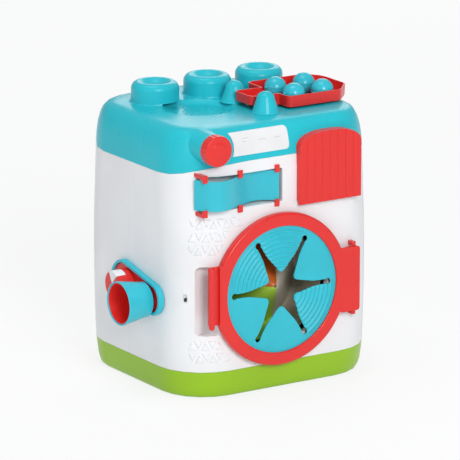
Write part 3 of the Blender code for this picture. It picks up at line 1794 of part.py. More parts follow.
def battery_unit():
    seat = back - wall / 2
    plate = slab([battery_outline(gap)], seat + gap, seat + battery_cover_thickness, "Y")
    part("battery_cover", plate, white)
    low = back - wall - gap
    deep = low - battery_depth
    box = part("battery_box", slab([battery_outline(battery_lap / 2)], deep, low, "Y"), black)
    hollow = battery_outline(battery_lap / 2 + thin_wall)
    cut(box, slab([hollow], deep + thin_wall, low + overrun, "Y"), "tray")
    board_y = deep - board_stand
    board = rounded(
        battery_x - board_width / 2,
        battery_z - board_height / 2,
        battery_x + board_width / 2,
        battery_z + board_height / 2,
        wall,
        2,
    )
    part("circuit_board", slab([board], board_y - board_thickness, board_y, "Y"), board_green)


base_tub()
base_screws()
front_shell()
pockets()
rear_shell()
top_cover()
tray_posts()
label_plate()
dial()
wave_panel()
wave_clips()
hopper()
door()
knuckles()
drum()
balls(tray())
side_unit()
slide_switch()
sound_unit()
battery_unit()
add_booleans()
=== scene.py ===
import json
import math

import bmesh
import bpy
from mathutils import Matrix, Vector
from mathutils.bvhtree import BVHTree

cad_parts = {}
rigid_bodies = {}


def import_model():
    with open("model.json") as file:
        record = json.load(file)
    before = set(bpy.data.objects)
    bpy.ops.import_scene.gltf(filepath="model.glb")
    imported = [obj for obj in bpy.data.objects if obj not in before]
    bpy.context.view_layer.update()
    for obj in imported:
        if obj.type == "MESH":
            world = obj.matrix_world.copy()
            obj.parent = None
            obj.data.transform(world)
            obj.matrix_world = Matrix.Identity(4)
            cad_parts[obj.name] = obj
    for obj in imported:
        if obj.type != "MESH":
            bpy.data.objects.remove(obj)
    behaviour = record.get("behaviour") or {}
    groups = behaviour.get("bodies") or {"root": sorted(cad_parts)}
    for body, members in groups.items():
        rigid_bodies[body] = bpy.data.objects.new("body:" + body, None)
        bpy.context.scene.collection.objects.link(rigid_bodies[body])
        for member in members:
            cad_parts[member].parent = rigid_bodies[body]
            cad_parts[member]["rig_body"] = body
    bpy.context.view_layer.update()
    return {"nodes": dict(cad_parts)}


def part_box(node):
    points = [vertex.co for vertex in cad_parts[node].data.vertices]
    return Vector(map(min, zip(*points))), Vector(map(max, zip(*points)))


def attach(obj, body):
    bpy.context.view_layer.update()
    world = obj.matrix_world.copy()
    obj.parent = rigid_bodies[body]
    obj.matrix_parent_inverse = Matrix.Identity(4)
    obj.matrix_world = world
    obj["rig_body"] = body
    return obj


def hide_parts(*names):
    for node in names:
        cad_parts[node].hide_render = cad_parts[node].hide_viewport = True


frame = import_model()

nodes = frame["nodes"]
print("frame loaded with", len(nodes), "nodes")

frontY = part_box("front_shell")[0].y  # the flat front of the body
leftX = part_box("front_shell")[0].x


def middleOf(node):
    low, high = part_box(node)
    return (low + high) / 2


doorMiddle = middleOf("door_membrane")


# Camera and light

camera = {
    "place": (-4.922, -7.642, 2.687), "aim": (0, 0, 0.294), "lens": 367.8, "shift": (0.0030, -0.0198),
    "sensor": 36, "farEnd": 60,
}

lampAim = (0, 0, 0.28)
lamps = [  # name, place, width, power
    ("keyLamp", (-1.3, -4.9, 2.9), 2.0, 154),
    ("fillLamp", (-5.0, -1.6, 2.0), 3.0, 24),
    ("topLamp", (-0.6, 0.2, 4.6), 2.6, 44),
    ("backLamp", (2.8, 3.4, 2.4), 2.8, 34),
]


def linked(name, data):
    obj = bpy.data.objects.new(name, data)
    bpy.context.scene.collection.objects.link(obj)
    return obj


def pointAt(obj, place, aim):
    obj.location = place
    obj.rotation_euler = (Vector(aim) - Vector(place)).to_track_quat("-Z", "Y").to_euler()


def addCamera():
    eye = linked("photoCamera", bpy.data.cameras.new("photoCamera"))
    pointAt(eye, camera["place"], camera["aim"])
    eye.data.lens = camera["lens"]
    eye.data.sensor_width = camera["sensor"]
    eye.data.shift_x, eye.data.shift_y = camera["shift"]
    eye.data.clip_end = camera["farEnd"]
    bpy.context.scene.camera = eye


def addLamps():
    for name, place, width, power in lamps:
        lamp = linked(name, bpy.data.lights.new(name, "AREA"))
        pointAt(lamp, place, lampAim)
        lamp.data.shape = "DISK"
        lamp.data.size = width
        lamp.data.energy = power


# A socket that can be written in sums, and the nodes of a material or of the world


class Signal:
    def __init__(self, board, socket):
        self.board = board
        self.socket = socket

    def __add__(self, other):
        return self.board.math("ADD", self, other)

    def __sub__(self, other):
        return self.board.math("SUBTRACT", self, other)

    def __mul__(self, other):
        return self.board.math("MULTIPLY", self, other)

    def __rsub__(self, other):
        return self.board.math("SUBTRACT", other, self)

    __radd__ = __add__
    __rmul__ = __mul__


class Board:
    def __init__(self, owner, shader, constants):
        owner.use_nodes = True
        self.owner = owner
        self.tree = owner.node_tree
        self.shader = self.tree.nodes[shader]
        for socket, value in constants.items():
            self.shader.inputs[socket].default_value = value

    def add(self, kind, settings=None, sockets=None, output=0):
        node = self.tree.nodes.new(kind)
        for key, value in (settings or {}).items():
            setattr(node, key, value)
        for key, value in (sockets or {}).items():
            if isinstance(value, Signal):
                self.tree.links.new(value.socket, node.inputs[key])
            else:
                node.inputs[key].default_value = value
        return Signal(self, node.outputs[output])

    def math(self, operation, *values):
        return self.add("ShaderNodeMath", {"operation": operation}, dict(enumerate(values)))

    def between(self, low, high, signal):  # 0 under low, 1 over high, smooth between
        settings = {"interpolation_type": "SMOOTHSTEP"}
        return self.add("ShaderNodeMapRange", settings, {0: signal, 1: low, 2: high})

    def mix(self, share, first, second):  # 6 and 7 are the node's colour sockets, and 2 its colour output
        return self.add("ShaderNodeMix", {"data_type": "RGBA"}, {0: share, 6: first, 7: second}, 2)

    def feed(self, socket, signal):
        self.tree.links.new(signal.socket, self.shader.inputs[socket])

    def showInstead(self, share, other, end):  # another shader takes a share of what reaches the last node
        own = Signal(self, self.shader.outputs[0])
        both = self.add("ShaderNodeMixShader", None, {0: share, 1: own, 2: other})
        self.tree.links.new(both.socket, self.tree.nodes[end].inputs["Surface"])


class MaterialBoard(Board):
    def __init__(self, name, constants):
        super().__init__(bpy.data.materials.new(name), "Principled BSDF", constants)
        self.place = self.add("ShaderNodeTexCoord", output="Object")

    def noise(self, scale, detail=2.0, stretch=None):
        place = self.place
        if stretch:
            place = self.add("ShaderNodeMapping", None, {"Vector": place, "Scale": stretch})
        return self.add("ShaderNodeTexNoise", None, {"Vector": place, "Scale": scale, "Detail": detail})

    def relief(self, height, depth):
        sockets = {"Height": height, "Distance": depth, "Strength": 1.0}
        self.feed("Normal", self.add("ShaderNodeBump", None, sockets))


def tinted(colour, share):
    return tuple(min(1.0, c * share) for c in colour[:3]) + (1.0,)


noiseMiddle = 0.5  # a noise lies about evenly to both sides of it


# Moulded plastic, in ten colours; each noise is (scale, detail) or (scale, detail, stretch)

plastic = {
    "ior": 1.46, "shine": 0.5, "smear": 0.10, "depth": 0.00012,  # a colour below may change these
    "flow": (7, 3), "flowSpan": (0.3, 0.7), "flowDark": 0.965, "flowPale": 1.02,  # where the melt ran
    "fleck": (420, 2), "fleckSpan": (0.62, 0.8), "fleckShare": 0.25, "fleckPale": 1.06, "fleckRough": 0.05,
    "handling": (34, 3, (1, 1, 0.35)),  # marks drawn out upwards
    "grain": (1500, 1), "grainShare": 0.35, "wave": (55, 1),
}

colours = {
    "teal": {"colour": (0.022, 0.525, 0.615, 1), "roughness": 0.29, "shine": 0.28},
    "tealPanel": {"colour": (0.032, 0.505, 0.615, 1), "roughness": 0.22, "smear": 0.08, "depth": 0.00008},
    "tealCup": {"colour": (0.030, 0.520, 0.640, 1), "roughness": 0.25},
    "red": {"colour": (0.770, 0.026, 0.022, 1), "roughness": 0.30},
    "lime": {"colour": (0.305, 0.550, 0.008, 1), "roughness": 0.33},
    "white": {"colour": (0.850, 0.855, 0.865, 1), "roughness": 0.36},
    "orange": {"colour": (0.540, 0.110, 0.010, 1), "roughness": 0.36},
    "grey": {"colour": (0.560, 0.490, 0.400, 1), "roughness": 0.38},
    "drumLime": {"colour": (0.380, 0.620, 0.060, 1), "roughness": 0.36},
    "black": {"colour": (0.020, 0.020, 0.021, 1), "roughness": 0.45},
}


def moulded(name, look):
    p = {**plastic, **look}
    board = MaterialBoard(name, {"IOR": p["ior"], "Specular IOR Level": p["shine"]})
    flow = board.noise(*p["flow"])
    fleck = board.noise(*p["fleck"])
    dark, pale = tinted(p["colour"], p["flowDark"]), tinted(p["colour"], p["flowPale"])
    hue = board.mix(board.between(*p["flowSpan"], flow), dark, pale)
    fleckMask = board.between(*p["fleckSpan"], fleck) * p["fleckShare"]
    board.feed("Base Color", board.mix(fleckMask, hue, tinted(p["colour"], p["fleckPale"])))
    handled = (board.noise(*p["handling"]) - noiseMiddle) * p["smear"]
    board.feed("Roughness", p["roughness"] + handled + (fleck - noiseMiddle) * p["fleckRough"])
    board.relief(board.noise(*p["grain"]) * p["grainShare"] + board.noise(*p["wave"]), p["depth"])
    return board.owner


# The soft, slightly cloudy rubber of the membrane

rubber = {
    "colour": (0.035, 0.515, 0.620, 1), "roughness": 0.42, "ior": 1.45, "shine": 0.4,
    "cloud": (16, 4), "cloudSpan": (0.25, 0.75), "cloudDark": 0.95, "cloudPale": 1.03,
    "patches": (60, 2), "patchRough": 0.14,
    "grain": (1200, 2), "grainShare": 0.5, "wave": (90, 1), "depth": 0.0002,
}


def rubbery(name):
    r = rubber
    board = MaterialBoard(name, {"IOR": r["ior"], "Specular IOR Level": r["shine"]})
    dark, pale = tinted(r["colour"], r["cloudDark"]), tinted(r["colour"], r["cloudPale"])
    board.feed("Base Color", board.mix(board.between(*r["cloudSpan"], board.noise(*r["cloud"])), dark, pale))
    board.feed("Roughness", r["roughness"] + (board.noise(*r["patches"]) - noiseMiddle) * r["patchRough"])
    board.relief(board.noise(*r["grain"]) * r["grainShare"] + board.noise(*r["wave"]), r["depth"])
    return board.owner


# Plated steel for screws, pins and axles

steel = {
    "colour": (0.62, 0.62, 0.64, 1), "roughness": 0.3, "lines": (900, 2, (1, 1, 0.06)), "lineRough": 0.2,
    "stain": (140, 2), "stainDark": 0.85, "stainPale": 1.1, "depth": 0.00005,
}


def brushed(name):
    s = steel
    board = MaterialBoard(name, {"Metallic": 1.0})
    lines = board.noise(*s["lines"])
    dark, pale = tinted(s["colour"], s["stainDark"]), tinted(s["colour"], s["stainPale"])
    board.feed("Base Color", board.mix(board.noise(*s["stain"]), dark, pale))
    board.feed("Roughness", s["roughness"] + (lines - noiseMiddle) * s["lineRough"])
    board.relief(lines, s["depth"])
    return board.owner


# The circuit board's lacquer over its copper tracks

lacquer = {
    "colour": (0.02, 0.16, 0.06, 1), "shine": 0.6, "roughness": 0.38, "stain": (200, 2), "stainRough": 0.15,
    "trackScale": 160, "trackWidth": 0.03, "trackPale": 2.2, "depth": 0.00004,
    "turn": 90,  # sets the tracks upright, as the board stands
}


def lacquered(name):
    c = lacquer
    board = MaterialBoard(name, {"Specular IOR Level": c["shine"]})
    upright = {"Vector": board.place, "Rotation": (math.radians(c["turn"]), 0, 0)}
    tracks = board.add("ShaderNodeTexBrick", {"offset": 0.5}, {
        "Vector": board.add("ShaderNodeMapping", None, upright),
        "Scale": c["trackScale"], "Mortar Size": c["trackWidth"],
        "Color1": (0, 0, 0, 1), "Color2": (0, 0, 0, 1), "Mortar": (1, 1, 1, 1),
    })
    board.feed("Base Color", board.mix(tracks, c["colour"], tinted(c["colour"], c["trackPale"])))
    board.feed("Roughness", c["roughness"] + board.noise(*c["stain"]) * c["stainRough"])
    board.relief(tracks, c["depth"])
    return board.owner


# The pale label plate, with plain grey rules pressed into it

plate = {
    "colour": (0.790, 0.790, 0.795, 1), "grey": (0.420, 0.440, 0.460, 1), "ior": 1.46, "roughness": 0.28,
    "cloud": (30,), "cloudSpan": (0.3, 0.7), "cloudPale": 1.03, "stain": (200,), "stainRough": 0.06,
    "ink": 0.55, "inkRough": 0.1, "depth": 0.0001, "ruleHalf": 0.0006,
    "rules": [  # left end, right end, height
        (-0.098, -0.082, 0.517),
        (-0.098, -0.088, 0.511),
        (-0.060, -0.044, 0.511),
        (-0.024, -0.008, 0.511),
    ],
}


def ruled(name):
    p = plate
    board = MaterialBoard(name, {"IOR": p["ior"]})
    x, z = (board.add("ShaderNodeSeparateXYZ", None, {"Vector": board.place}, axis) for axis in "XZ")
    ink = None
    for start, end, height in p["rules"]:
        run = board.math("GREATER_THAN", x, start) * board.math("LESS_THAN", x, end)
        line = run * board.math("COMPARE", z, height, p["ruleHalf"])
        ink = line if ink is None else ink + line
    cloud = board.between(*p["cloudSpan"], board.noise(*p["cloud"]))
    paper = board.mix(cloud, p["colour"], tinted(p["colour"], p["cloudPale"]))
    board.feed("Base Color", board.mix(ink * p["ink"], paper, p["grey"]))
    board.feed("Roughness", p["roughness"] + board.noise(*p["stain"]) * p["stainRough"] + ink * p["inkRough"])
    board.relief(1 - ink, p["depth"])
    return board.owner


finishes = {name: moulded(name + "Plastic", look) for name, look in colours.items()}
finishes["rubber"] = rubbery("tealRubber")
finishes["label"] = ruled("labelPlate")
finishes["steel"] = brushed("platedSteel")
finishes["circuit"] = lacquered("circuitLacquer")
print("materials made:", len(finishes))


# Shared modelling helpers

softening = {
    "segments": 2, "angle": 32,  # of the rounded edges
    "merge": 2e-6, "flat": 0.5,  # how near points, and how level faces, are made one
}


def bodyOf(node):
    return nodes[node]["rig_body"]


def addSoftening(obj, width, angle):
    bevel = obj.modifiers.new("edges", "BEVEL")
    bevel.width = width
    bevel.segments = softening["segments"]
    bevel.limit_method = "ANGLE"
    bevel.angle_limit = math.radians(angle)
    bevel.use_clamp_overlap = False
    weigh = obj.modifiers.new("shading", "WEIGHTED_NORMAL")
    weigh.keep_sharp = True


def asPiece(name, bm, finish, body, soften=None, recalculate=True):  # soften is (edge radius, least angle)
    if recalculate:
        bmesh.ops.recalc_face_normals(bm, faces=bm.faces)
    for face in bm.faces:
        face.smooth = True
    mesh = bpy.data.meshes.new(name)
    bm.to_mesh(mesh)
    bm.free()
    mesh.materials.append(finishes[finish])
    obj = linked(name, mesh)
    if soften:
        addSoftening(obj, *soften)
    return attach(obj, body)


def softened(node, finish, width):
    # a copy of a CAD node whose edges are rounded as a mould rounds them
    bm = bmesh.new()
    bm.from_mesh(nodes[node].data)
    bmesh.ops.remove_doubles(bm, verts=bm.verts, dist=softening["merge"])
    flat = math.radians(softening["flat"])
    bmesh.ops.dissolve_limit(bm, angle_limit=flat, verts=bm.verts, edges=bm.edges)
    words = node.split("_")
    name = words[0] + "".join(word.capitalize() for word in words[1:])
    obj = asPiece(name, bm, finish, bodyOf(node), (width, softening["angle"]), False)
    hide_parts(node)


# Pieces that keep their CAD shape, with rounded edges

kept = [  # node, finish, edge radius
    ("base_tub", "lime", 0.0010),
    ("front_shell", "white", 0.0006),
    ("rear_shell", "white", 0.0006),
    ("handle_pocket", "white", 0.0006),
    ("wave_pocket", "white", 0.0006),
    ("tray_post_front", "teal", 0.0005),
    ("tray_post_back", "teal", 0.0005),
    ("top_cover", "teal", 0.0005),
    ("battery_cover", "white", 0.0006),
    ("battery_box", "black", 0.0004),
    ("label_plate", "label", 0.0005),
    ("dial_knob", "red", 0.0005),
    ("dial_spindle", "steel", 0.0003),
    ("click_wheel", "white", 0.0003),
    ("click_pawl", "white", 0.0003),
    ("wave_panel", "tealPanel", 0.0006),
    ("hopper_flap", "red", 0.0006),
    ("hopper_pin", "steel", 0.0002),
    ("membrane_retainer", "red", 0.0004),
    ("hinge_pin", "steel", 0.0003),
    ("hinge_knuckle_upper", "red", 0.0004),
    ("hinge_knuckle_lower", "red", 0.0004),
    ("drum_sector_orange", "orange", 0.0005),
    ("drum_sector_green", "drumLime", 0.0005),
    ("drum_sector_grey", "grey", 0.0005),
    ("drum_back", "grey", 0.0005),
    ("drum_axle", "steel", 0.0003),
    ("drum_carrier", "white", 0.0005),
    ("side_bezel", "tealCup", 0.0006),
    ("side_face", "red", 0.0005),
    ("side_cup", "tealCup", 0.0004),
    ("cup_liner", "red", 0.0004),
    ("spinner_knob", "red", 0.0005),
    ("spinner_wedge", "white", 0.0004),
    ("switch_frame", "white", 0.0003),
    ("switch_slider", "black", 0.0003),
    ("tray", "red", 0.0006),
    ("speaker", "black", 0.0004),
    ("circuit_board", "circuit", 0.0002),
]
kept += [(f"wave_clip_{i + 1}", "red", 0.0004) for i in range(6)]
kept += [(f"base_screw_{i + 1}", "steel", 0.0002) for i in range(4)]

for node, finish, width in kept:
    softened(node, finish, width)
print("kept pieces:", len(kept))


# The door's star-slit membrane

membrane = {
    "petals": 6, "rim": 0.1345, "slitTip": 0.1155, "slitTipRadius": 0.00625,
    "slitHalf": ((0.060, 0.0087), (0.075, 0.0055), (0.090, 0.0045)),  # reach, half of the slit's width
    "noseMiddle": 0.0445, "noseRadius": 0.009, "noseSpread": 48, "thick": 0.003, "face": 0.010,
    "rippled": (1, 2, 5), "ripplePitch": 0.0098, "rippleHeight": 0.0028, "rippleStart": 0.043,
    "rippleRows": 8, "rippleFade": 9,  # the ripples die out in the last ninth before a cut edge
    "across": 22, "along": 120, "crowding": 1.25,  # a petal's rows of points, closer together at its tip
    "merge": 2e-5, "collapse": 1e-6, "edge": (0.0006, 50),
}


def slitHalfWidth(reach):  # half of the gap between two petals, at a distance from the middle
    m = membrane
    end = m["slitTip"] - m["slitTipRadius"]
    steps = m["slitHalf"]
    neck = steps[-1][1]
    if reach >= end - m["slitTipRadius"]:
        bulb = math.sqrt(max(0.0, m["slitTipRadius"] ** 2 - (reach - end) ** 2))
        return max(bulb, neck if reach < end else 0.0)
    for (nearReach, nearHalf), (farReach, farHalf) in zip(steps, steps[1:]):
        if reach <= farReach:
            share = (reach - nearReach) / (farReach - nearReach)
            return nearHalf + (farHalf - nearHalf) * share
    return neck


def petalHalfAngle(reach):  # how far a petal spreads to each side of its middle line
    m = membrane
    wide = math.radians(180 / m["petals"])
    sideReach, sideHalf = m["slitHalf"][0]
    foot = Vector((
        sideReach * math.cos(wide) + sideHalf * math.sin(wide),
        sideReach * math.sin(wide) - sideHalf * math.cos(wide),
    ))
    spread = math.radians(m["noseSpread"])
    middle, radius = m["noseMiddle"], m["noseRadius"]
    cheek = Vector((middle - radius * math.cos(spread), radius * math.sin(spread)))
    if reach >= foot.length:
        return wide - math.asin(min(1.0, slitHalfWidth(reach) / reach))
    if reach > cheek.length:  # the straight run between the round nose and the slit
        run = foot - cheek
        a, b, c = run.dot(run), cheek.dot(run), cheek.dot(cheek) - reach**2
        point = cheek + run * (-b + math.sqrt(b * b - a * c)) / a
        return math.atan2(point.y, point.x)
    return math.acos(min(1.0, (reach**2 + middle**2 - radius**2) / (2 * reach * middle)))


def rippleAt(reach):
    m = membrane
    turn = (reach - m["rippleStart"]) / m["ripplePitch"]
    if turn < 0 or turn > m["rippleRows"]:
        return 0.0
    return m["rippleHeight"] * (1 - math.cos(2 * math.pi * turn)) / 2


def makeMembrane():
    m = membrane
    tip = m["noseMiddle"] - m["noseRadius"]
    bm = bmesh.new()
    for petal in range(m["petals"]):
        grid = bmesh.ops.create_grid(bm, x_segments=m["across"], y_segments=m["along"], size=1)
        middle = math.radians((petal + 0.5) * 360 / m["petals"])
        for vert in grid["verts"]:
            u, v = vert.co.x, (vert.co.y + 1) / 2
            reach = tip + (m["rim"] - tip) * v ** m["crowding"]
            angle = middle + u * petalHalfAngle(reach)
            lift = rippleAt(reach) if petal in m["rippled"] else 0.0
            lift *= min(1.0, (1 - abs(u)) * m["rippleFade"])
            x, z = reach * math.cos(angle), reach * math.sin(angle)
            vert.co = Vector((doorMiddle.x + x, frontY - m["face"] - lift, doorMiddle.z + z))
    bmesh.ops.remove_doubles(bm, verts=bm.verts, dist=m["merge"])
    bmesh.ops.dissolve_degenerate(bm, edges=bm.edges, dist=m["collapse"])
    bmesh.ops.recalc_face_normals(bm, faces=bm.faces)
    if sum(face.normal.y for face in bm.faces) > 0:
        bmesh.ops.reverse_faces(bm, faces=bm.faces)
    obj = asPiece("doorMembrane", bm, "rubber", "door", None, False)
    wall = obj.modifiers.new("wall", "SOLIDIFY")
    wall.thickness = m["thick"]
    wall.offset = -1
    addSoftening(obj, *m["edge"])
    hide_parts("door_membrane")


makeMembrane()
print("membrane made")


# The door's ring, with its grip and its hinge plate

ring = {
    "outer": 0.154, "inner": 0.128, "seatRadius": 0.1351, "flangeRadius": 0.1496, "steps": 128,
    "proud": 0.015, "seat": 0.0103, "flange": 0.0041, "back": 0.0007,  # distances in front of the body
    "outerRound": 0.005, "outerSteps": 6, "innerRound": 0.0025, "innerSteps": 4, "edge": (0.0006, 40),
}
grip = {"width": 0.0118, "low": 0.148, "high": 0.2747, "back": 0.0085, "round": 0.0066, "segments": 6}
valley = {  # between the bar and the ring
    "right": -0.164, "floor": 0.0085, "back": 0.003, "overlap": 0.004, "short": 0.002, "corner": 0.003,
}
tab = {
    "low": 0.153, "high": 0.275, "overlap": 0.0003, "drop": 0.0004, "reach": 0.016, "lift": 0.0002,
    "corner": 0.0025,
}
hinge = {
    "low": 0.138, "high": 0.270, "back": 0.0050, "corner": 0.0060, "reach": 0.008, "lift": 0.0003,
    "gap": 0.001, "inset": 0.0005, "barrel": 0.0049, "barrelSteps": 40,
    "x": 0.154, "out": 0.010,  # the axis
}
nearlyParallel = 0.9


def spunSection(bm, section, middle, steps):
    # a closed section of (radius, distance in front of the body), turned about the door's axis
    verts = [bm.verts.new((middle.x + r, frontY - d, middle.z)) for r, d in section]
    edges = [bm.edges.new(pair) for pair in zip(verts, verts[1:] + verts[:1])]
    bmesh.ops.spin(
        bm, geom=verts + edges, cent=middle, axis=(0, 1, 0), angle=math.radians(360), steps=steps,
        use_merge=True)


def roundedBlock(bm, low, high, corner, along="Y", segments=5):
    # a block whose edges along one axis, or all of them, are rounded; low and high give y as the distance
    # in front of the body
    low, high = Vector((low[0], frontY - low[1], low[2])), Vector((high[0], frontY - high[1], high[2]))
    made = bmesh.ops.create_cube(bm, size=1.0)["verts"]
    bmesh.ops.scale(bm, vec=high - low, verts=made)
    bmesh.ops.translate(bm, vec=(high + low) / 2, verts=made)
    chosen = {edge for vert in made for edge in vert.link_edges}
    if along:
        axis = "XYZ".index(along)
        spans = {edge: (edge.verts[0].co - edge.verts[1].co).normalized() for edge in chosen}
        chosen = {edge for edge in chosen if abs(spans[edge][axis]) > nearlyParallel}
    bmesh.ops.bevel(
        bm, geom=list(chosen), offset=corner, segments=segments, profile=0.5, affect="EDGES", material=-1)


def ringSection():
    r = ring
    section = [(r["flangeRadius"], r["back"]), (r["outer"], r["back"])]
    size = r["outerRound"]
    for i in range(r["outerSteps"] + 1):  # the rolled outer edge
        angle = math.radians(90 * i / r["outerSteps"])
        radius = r["outer"] - size + size * math.cos(angle)
        section.append((radius, r["proud"] - size + size * math.sin(angle)))
    size = r["innerRound"]
    for i in range(r["innerSteps"] + 1):  # the softer inner edge
        angle = math.radians(90 * i / r["innerSteps"])
        radius = r["inner"] + size - size * math.sin(angle)
        section.append((radius, r["proud"] - size + size * math.cos(angle)))
    return section + [
        (r["inner"], r["seat"]), (r["seatRadius"], r["seat"]), (r["seatRadius"], r["flange"]),
        (r["flangeRadius"], r["flange"]),
    ]


def addGrip(bm, left, front):  # the bar, the valley's floor beside it and the tab that joins them to the ring
    g, v, t = grip, valley, tab
    roundedBlock(
        bm, (left, front, g["low"]), (left + g["width"], g["back"], g["high"]),
        g["round"], None, g["segments"])
    roundedBlock(
        bm, (left + v["overlap"], v["floor"], t["low"] + v["short"]),
        (v["right"] + v["overlap"], v["back"], t["high"] - v["short"]), v["corner"])
    seatLeft = doorMiddle.x - ring["flangeRadius"]
    roundedBlock(
        bm, (v["right"] - t["overlap"], ring["proud"] - t["drop"], t["low"]),
        (seatLeft + t["reach"], ring["seat"] + t["lift"], t["high"]), t["corner"])


def addHinge(bm, right):  # the plate in front of the ring, the thinner part beyond it and the barrel
    h = hinge
    roundedBlock(
        bm, (doorMiddle.x + ring["inner"] + h["reach"], ring["proud"] + h["lift"], h["low"]),
        (right, ring["seat"], h["high"]), h["corner"])
    roundedBlock(
        bm, (doorMiddle.x + ring["flangeRadius"] + h["gap"], ring["proud"], h["low"] + h["inset"]),
        (right - h["inset"], h["back"], h["high"] - h["inset"]), h["corner"] - h["inset"])
    barrel = bmesh.ops.create_cone(
        bm, cap_ends=True, segments=h["barrelSteps"], radius1=h["barrel"], radius2=h["barrel"],
        depth=h["high"] - h["low"])
    middle = (h["x"], frontY - h["out"], (h["high"] + h["low"]) / 2)
    bmesh.ops.translate(bm, vec=middle, verts=barrel["verts"])


def makeRing():
    low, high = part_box("door_ring")
    bm = bmesh.new()
    spunSection(bm, ringSection(), Vector((doorMiddle.x, frontY, doorMiddle.z)), ring["steps"])
    whole = list(bm.verts) + list(bm.edges) + list(bm.faces)
    bmesh.ops.bisect_plane(
        bm, geom=whole, plane_co=(valley["right"], 0, 0), plane_no=(-1, 0, 0), clear_outer=True)
    bmesh.ops.holes_fill(bm, edges=[edge for edge in bm.edges if edge.is_boundary], sides=0)
    addGrip(bm, low.x, frontY - low.y)
    addHinge(bm, high.x)
    obj = asPiece("doorRing", bm, "red", "door", ring["edge"])
    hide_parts("door_ring")


makeRing()
print("door ring made")


# The raised triangles that fingers feel, on the front's left edge and round its corner

triangles = {
    "pitch": 0.0278, "row": 0.026, "inset": 0.0022, "lift": 0.0028, "sink": 0.0012, "topShare": 0.62,
    "round": 0.17, "roundSteps": 3, "edge": (0.0005, 30), "rayStart": 0.03, "rayReach": 0.08,
    "cornerFull": 0.107, "cornerMid": 0.093, "sideSeam": 0.447,
    "bands": (  # lower edge, first point-down place, the places that point down, the places that point up
        (0.342, -0.0078, (0, 1, 2, 3), (-0.5, 0.5, 1.5, 2.5)),
        (0.316, 0.0061, (0, 1, 2), (0.5, 1.5, 2.5)),
        (0.290, 0.0200, (0, 1, 2), (0.5, 1.5)),
        (0.097, 0.0354, (0, 1), (-0.5, 0.5, 1.5)),
        (0.071, 0.0215, (0, 1, 2), (-0.5, 0.5, 1.5)),
    ),
}
unitSide = math.sqrt(3)  # side and height of the triangle whose points are 1 from its middle
unitHeight = 1.5


def cornerPoint(run, z, out):
    # a point beside the front's left corner, and the way out of the wall there; run goes round the corner
    # from its start, and to the right of it where negative
    t = triangles
    share = min(max(z / t["sideSeam"], 0), 1)
    radius = t["cornerFull"] - (t["cornerFull"] - t["cornerMid"]) * math.sin(math.pi * share)
    startX = leftX + radius
    if run < 0:
        return Vector((startX - run, frontY - out, z)), Vector((0, -1, 0))
    angle = run / radius
    normal = Vector((-math.sin(angle), -math.cos(angle), 0))
    return Vector((startX, frontY + radius, z)) + normal * (radius + out), normal


def addTriangle(bm, wall, middle, height, flip):
    t = triangles
    made = bmesh.ops.create_cone(
        bm, cap_ends=True, segments=3, radius1=1.0, radius2=t["topShare"], depth=1.0)["verts"]
    width = (t["pitch"] - 2 * t["inset"] * unitSide) / unitSide
    tall = (t["row"] - 3 * t["inset"]) / unitHeight
    uprights = {e for v in made for e in v.link_edges if e.verts[0].co.z * e.verts[1].co.z < 0}
    bevelled = bmesh.ops.bevel(
        bm, geom=list(uprights), offset=t["round"], segments=t["roundSteps"], profile=0.5, affect="EDGES",
        material=-1)
    for vert in {v for v in made if v.is_valid} | set(bevelled["verts"]):
        u, v, top = vert.co.x, vert.co.y * flip, vert.co.z > 0
        run = middle + u * width
        z = height - flip * (t["row"] / 2 - t["inset"] - tall / 2) + v * tall
        outside, normal = cornerPoint(run, z, t["rayStart"])
        hit = wall.ray_cast(outside, -normal, t["rayReach"])[0]
        surface = hit if hit else cornerPoint(run, z, 0)[0]
        vert.co = surface + normal * (t["lift"] if top else -t["sink"])


def makeTriangles():
    t = triangles
    skin = bmesh.new()
    skin.from_mesh(nodes["front_shell"].data)
    wall = BVHTree.FromBMesh(skin)
    skin.free()
    bm = bmesh.new()
    for low, first, downs, ups in t["bands"]:
        for places, flip in ((downs, -1), (ups, 1)):
            for place in places:
                addTriangle(bm, wall, first + place * t["pitch"], low + t["row"] / 2, flip)
    piece = asPiece("tactileTriangles", bm, "white", "body", t["edge"])


makeTriangles()
print("triangles made")


# The four balls

ball = {
    "radius": 0.0225, "steps": (48, 32), "edge": (0.0004, 40),
    "seamBand": 0.0004, "seamShare": 0.96,  # the points this near the middle are drawn in to this share
    "nub": 0.0034, "nubTip": 0.00272, "nubLength": 0.0052, "nubSteps": 20,
    "nubSink": 0.0004, "nubRise": 0.0028,  # how deep it sits in the ball, and how far above the middle
}


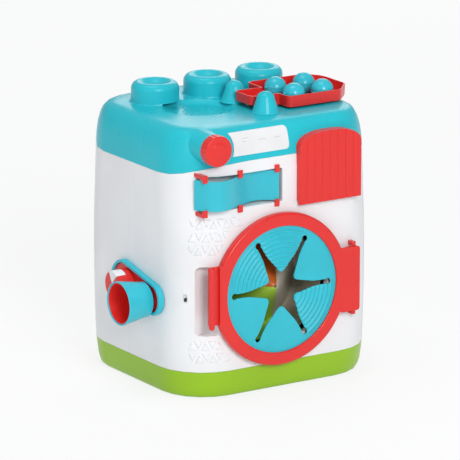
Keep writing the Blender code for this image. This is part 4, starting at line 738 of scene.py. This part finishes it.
def makeBalls():
    b = ball
    for i in range(4):
        node = f"ball_{i + 1}"
        low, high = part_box(node)
        side = -1 if i % 2 == 0 else 1  # the end that holds the nub
        centreX = (high.x - b["radius"]) if side < 0 else (low.x + b["radius"])
        centre = Vector((centreX, (low.y + high.y) / 2, (low.z + high.z) / 2))
        bm = bmesh.new()
        around, upwards = b["steps"]
        bmesh.ops.create_uvsphere(bm, u_segments=around, v_segments=upwards, radius=b["radius"])
        for vert in bm.verts:  # the two halves meet in a fine welded line
            if abs(vert.co.z) < b["seamBand"]:
                vert.co.x *= b["seamShare"]
                vert.co.y *= b["seamShare"]
        nub = bmesh.ops.create_cone(
            bm, cap_ends=True, segments=b["nubSteps"], radius1=b["nub"], radius2=b["nubTip"],
            depth=b["nubLength"])
        turn = Matrix.Rotation(math.radians(90 * side), 4, "Y")
        shift = Matrix.Translation((side * (b["radius"] - b["nubSink"]), 0, b["nubRise"]))
        bmesh.ops.transform(bm, matrix=shift @ turn, verts=nub["verts"])
        bmesh.ops.translate(bm, vec=centre, verts=bm.verts)
        obj = asPiece(f"ball{i + 1}", bm, "tealCup", bodyOf(node), b["edge"])
        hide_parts(node)


makeBalls()
print("balls made")


# Floor and backdrop

floor = {
    "size": 30.0, "drop": 0.0005, "paper": (0.90, 0.90, 0.90, 1), "paperPale": 1.01, "cloud": (3,),
    "roughness": 0.9, "share": 0.80,  # how much of the paper is plain white to the camera
}
sky = {"tint": (0.93, 0.96, 1.0, 1), "strength": 0.45}
white = (1, 1, 1, 1)


def makeFloor():
    bm = bmesh.new()
    bmesh.ops.create_grid(bm, x_segments=1, y_segments=1, size=floor["size"])
    bmesh.ops.translate(bm, vec=(0, 0, -floor["drop"]), verts=bm.verts)
    mesh = bpy.data.meshes.new("studioFloor")
    bm.to_mesh(mesh)
    bm.free()
    board = MaterialBoard("floorPaper", {"Roughness": floor["roughness"], "Specular IOR Level": 0.0})
    pale = tinted(floor["paper"], floor["paperPale"])
    board.feed("Base Color", board.mix(board.noise(*floor["cloud"]), floor["paper"], pale))
    glow = board.add("ShaderNodeEmission", None, {"Color": white, "Strength": 1.0})
    rays = board.add("ShaderNodeLightPath", output="Is Camera Ray")
    rays = rays + board.add("ShaderNodeLightPath", output="Is Glossy Ray")
    rays = rays + board.add("ShaderNodeLightPath", output="Is Transmission Ray")
    board.showInstead(board.math("MINIMUM", rays, 1.0) * floor["share"], glow, "Material Output")
    mesh.materials.append(board.owner)
    linked("studioFloor", mesh)


def makeWorld():
    world = bpy.data.worlds.new("studio")
    bpy.context.scene.world = world
    board = Board(world, "Background", {"Color": sky["tint"], "Strength": sky["strength"]})
    backdrop = board.add("ShaderNodeBackground", None, {"Color": white})
    board.showInstead(board.add("ShaderNodeLightPath", output="Is Camera Ray"), backdrop, "World Output")


makeFloor()
makeWorld()
addCamera()
addLamps()
bpy.context.scene.view_settings.view_transform = "Standard"
print("floor, backdrop, camera and lamps made")

print("scene made")
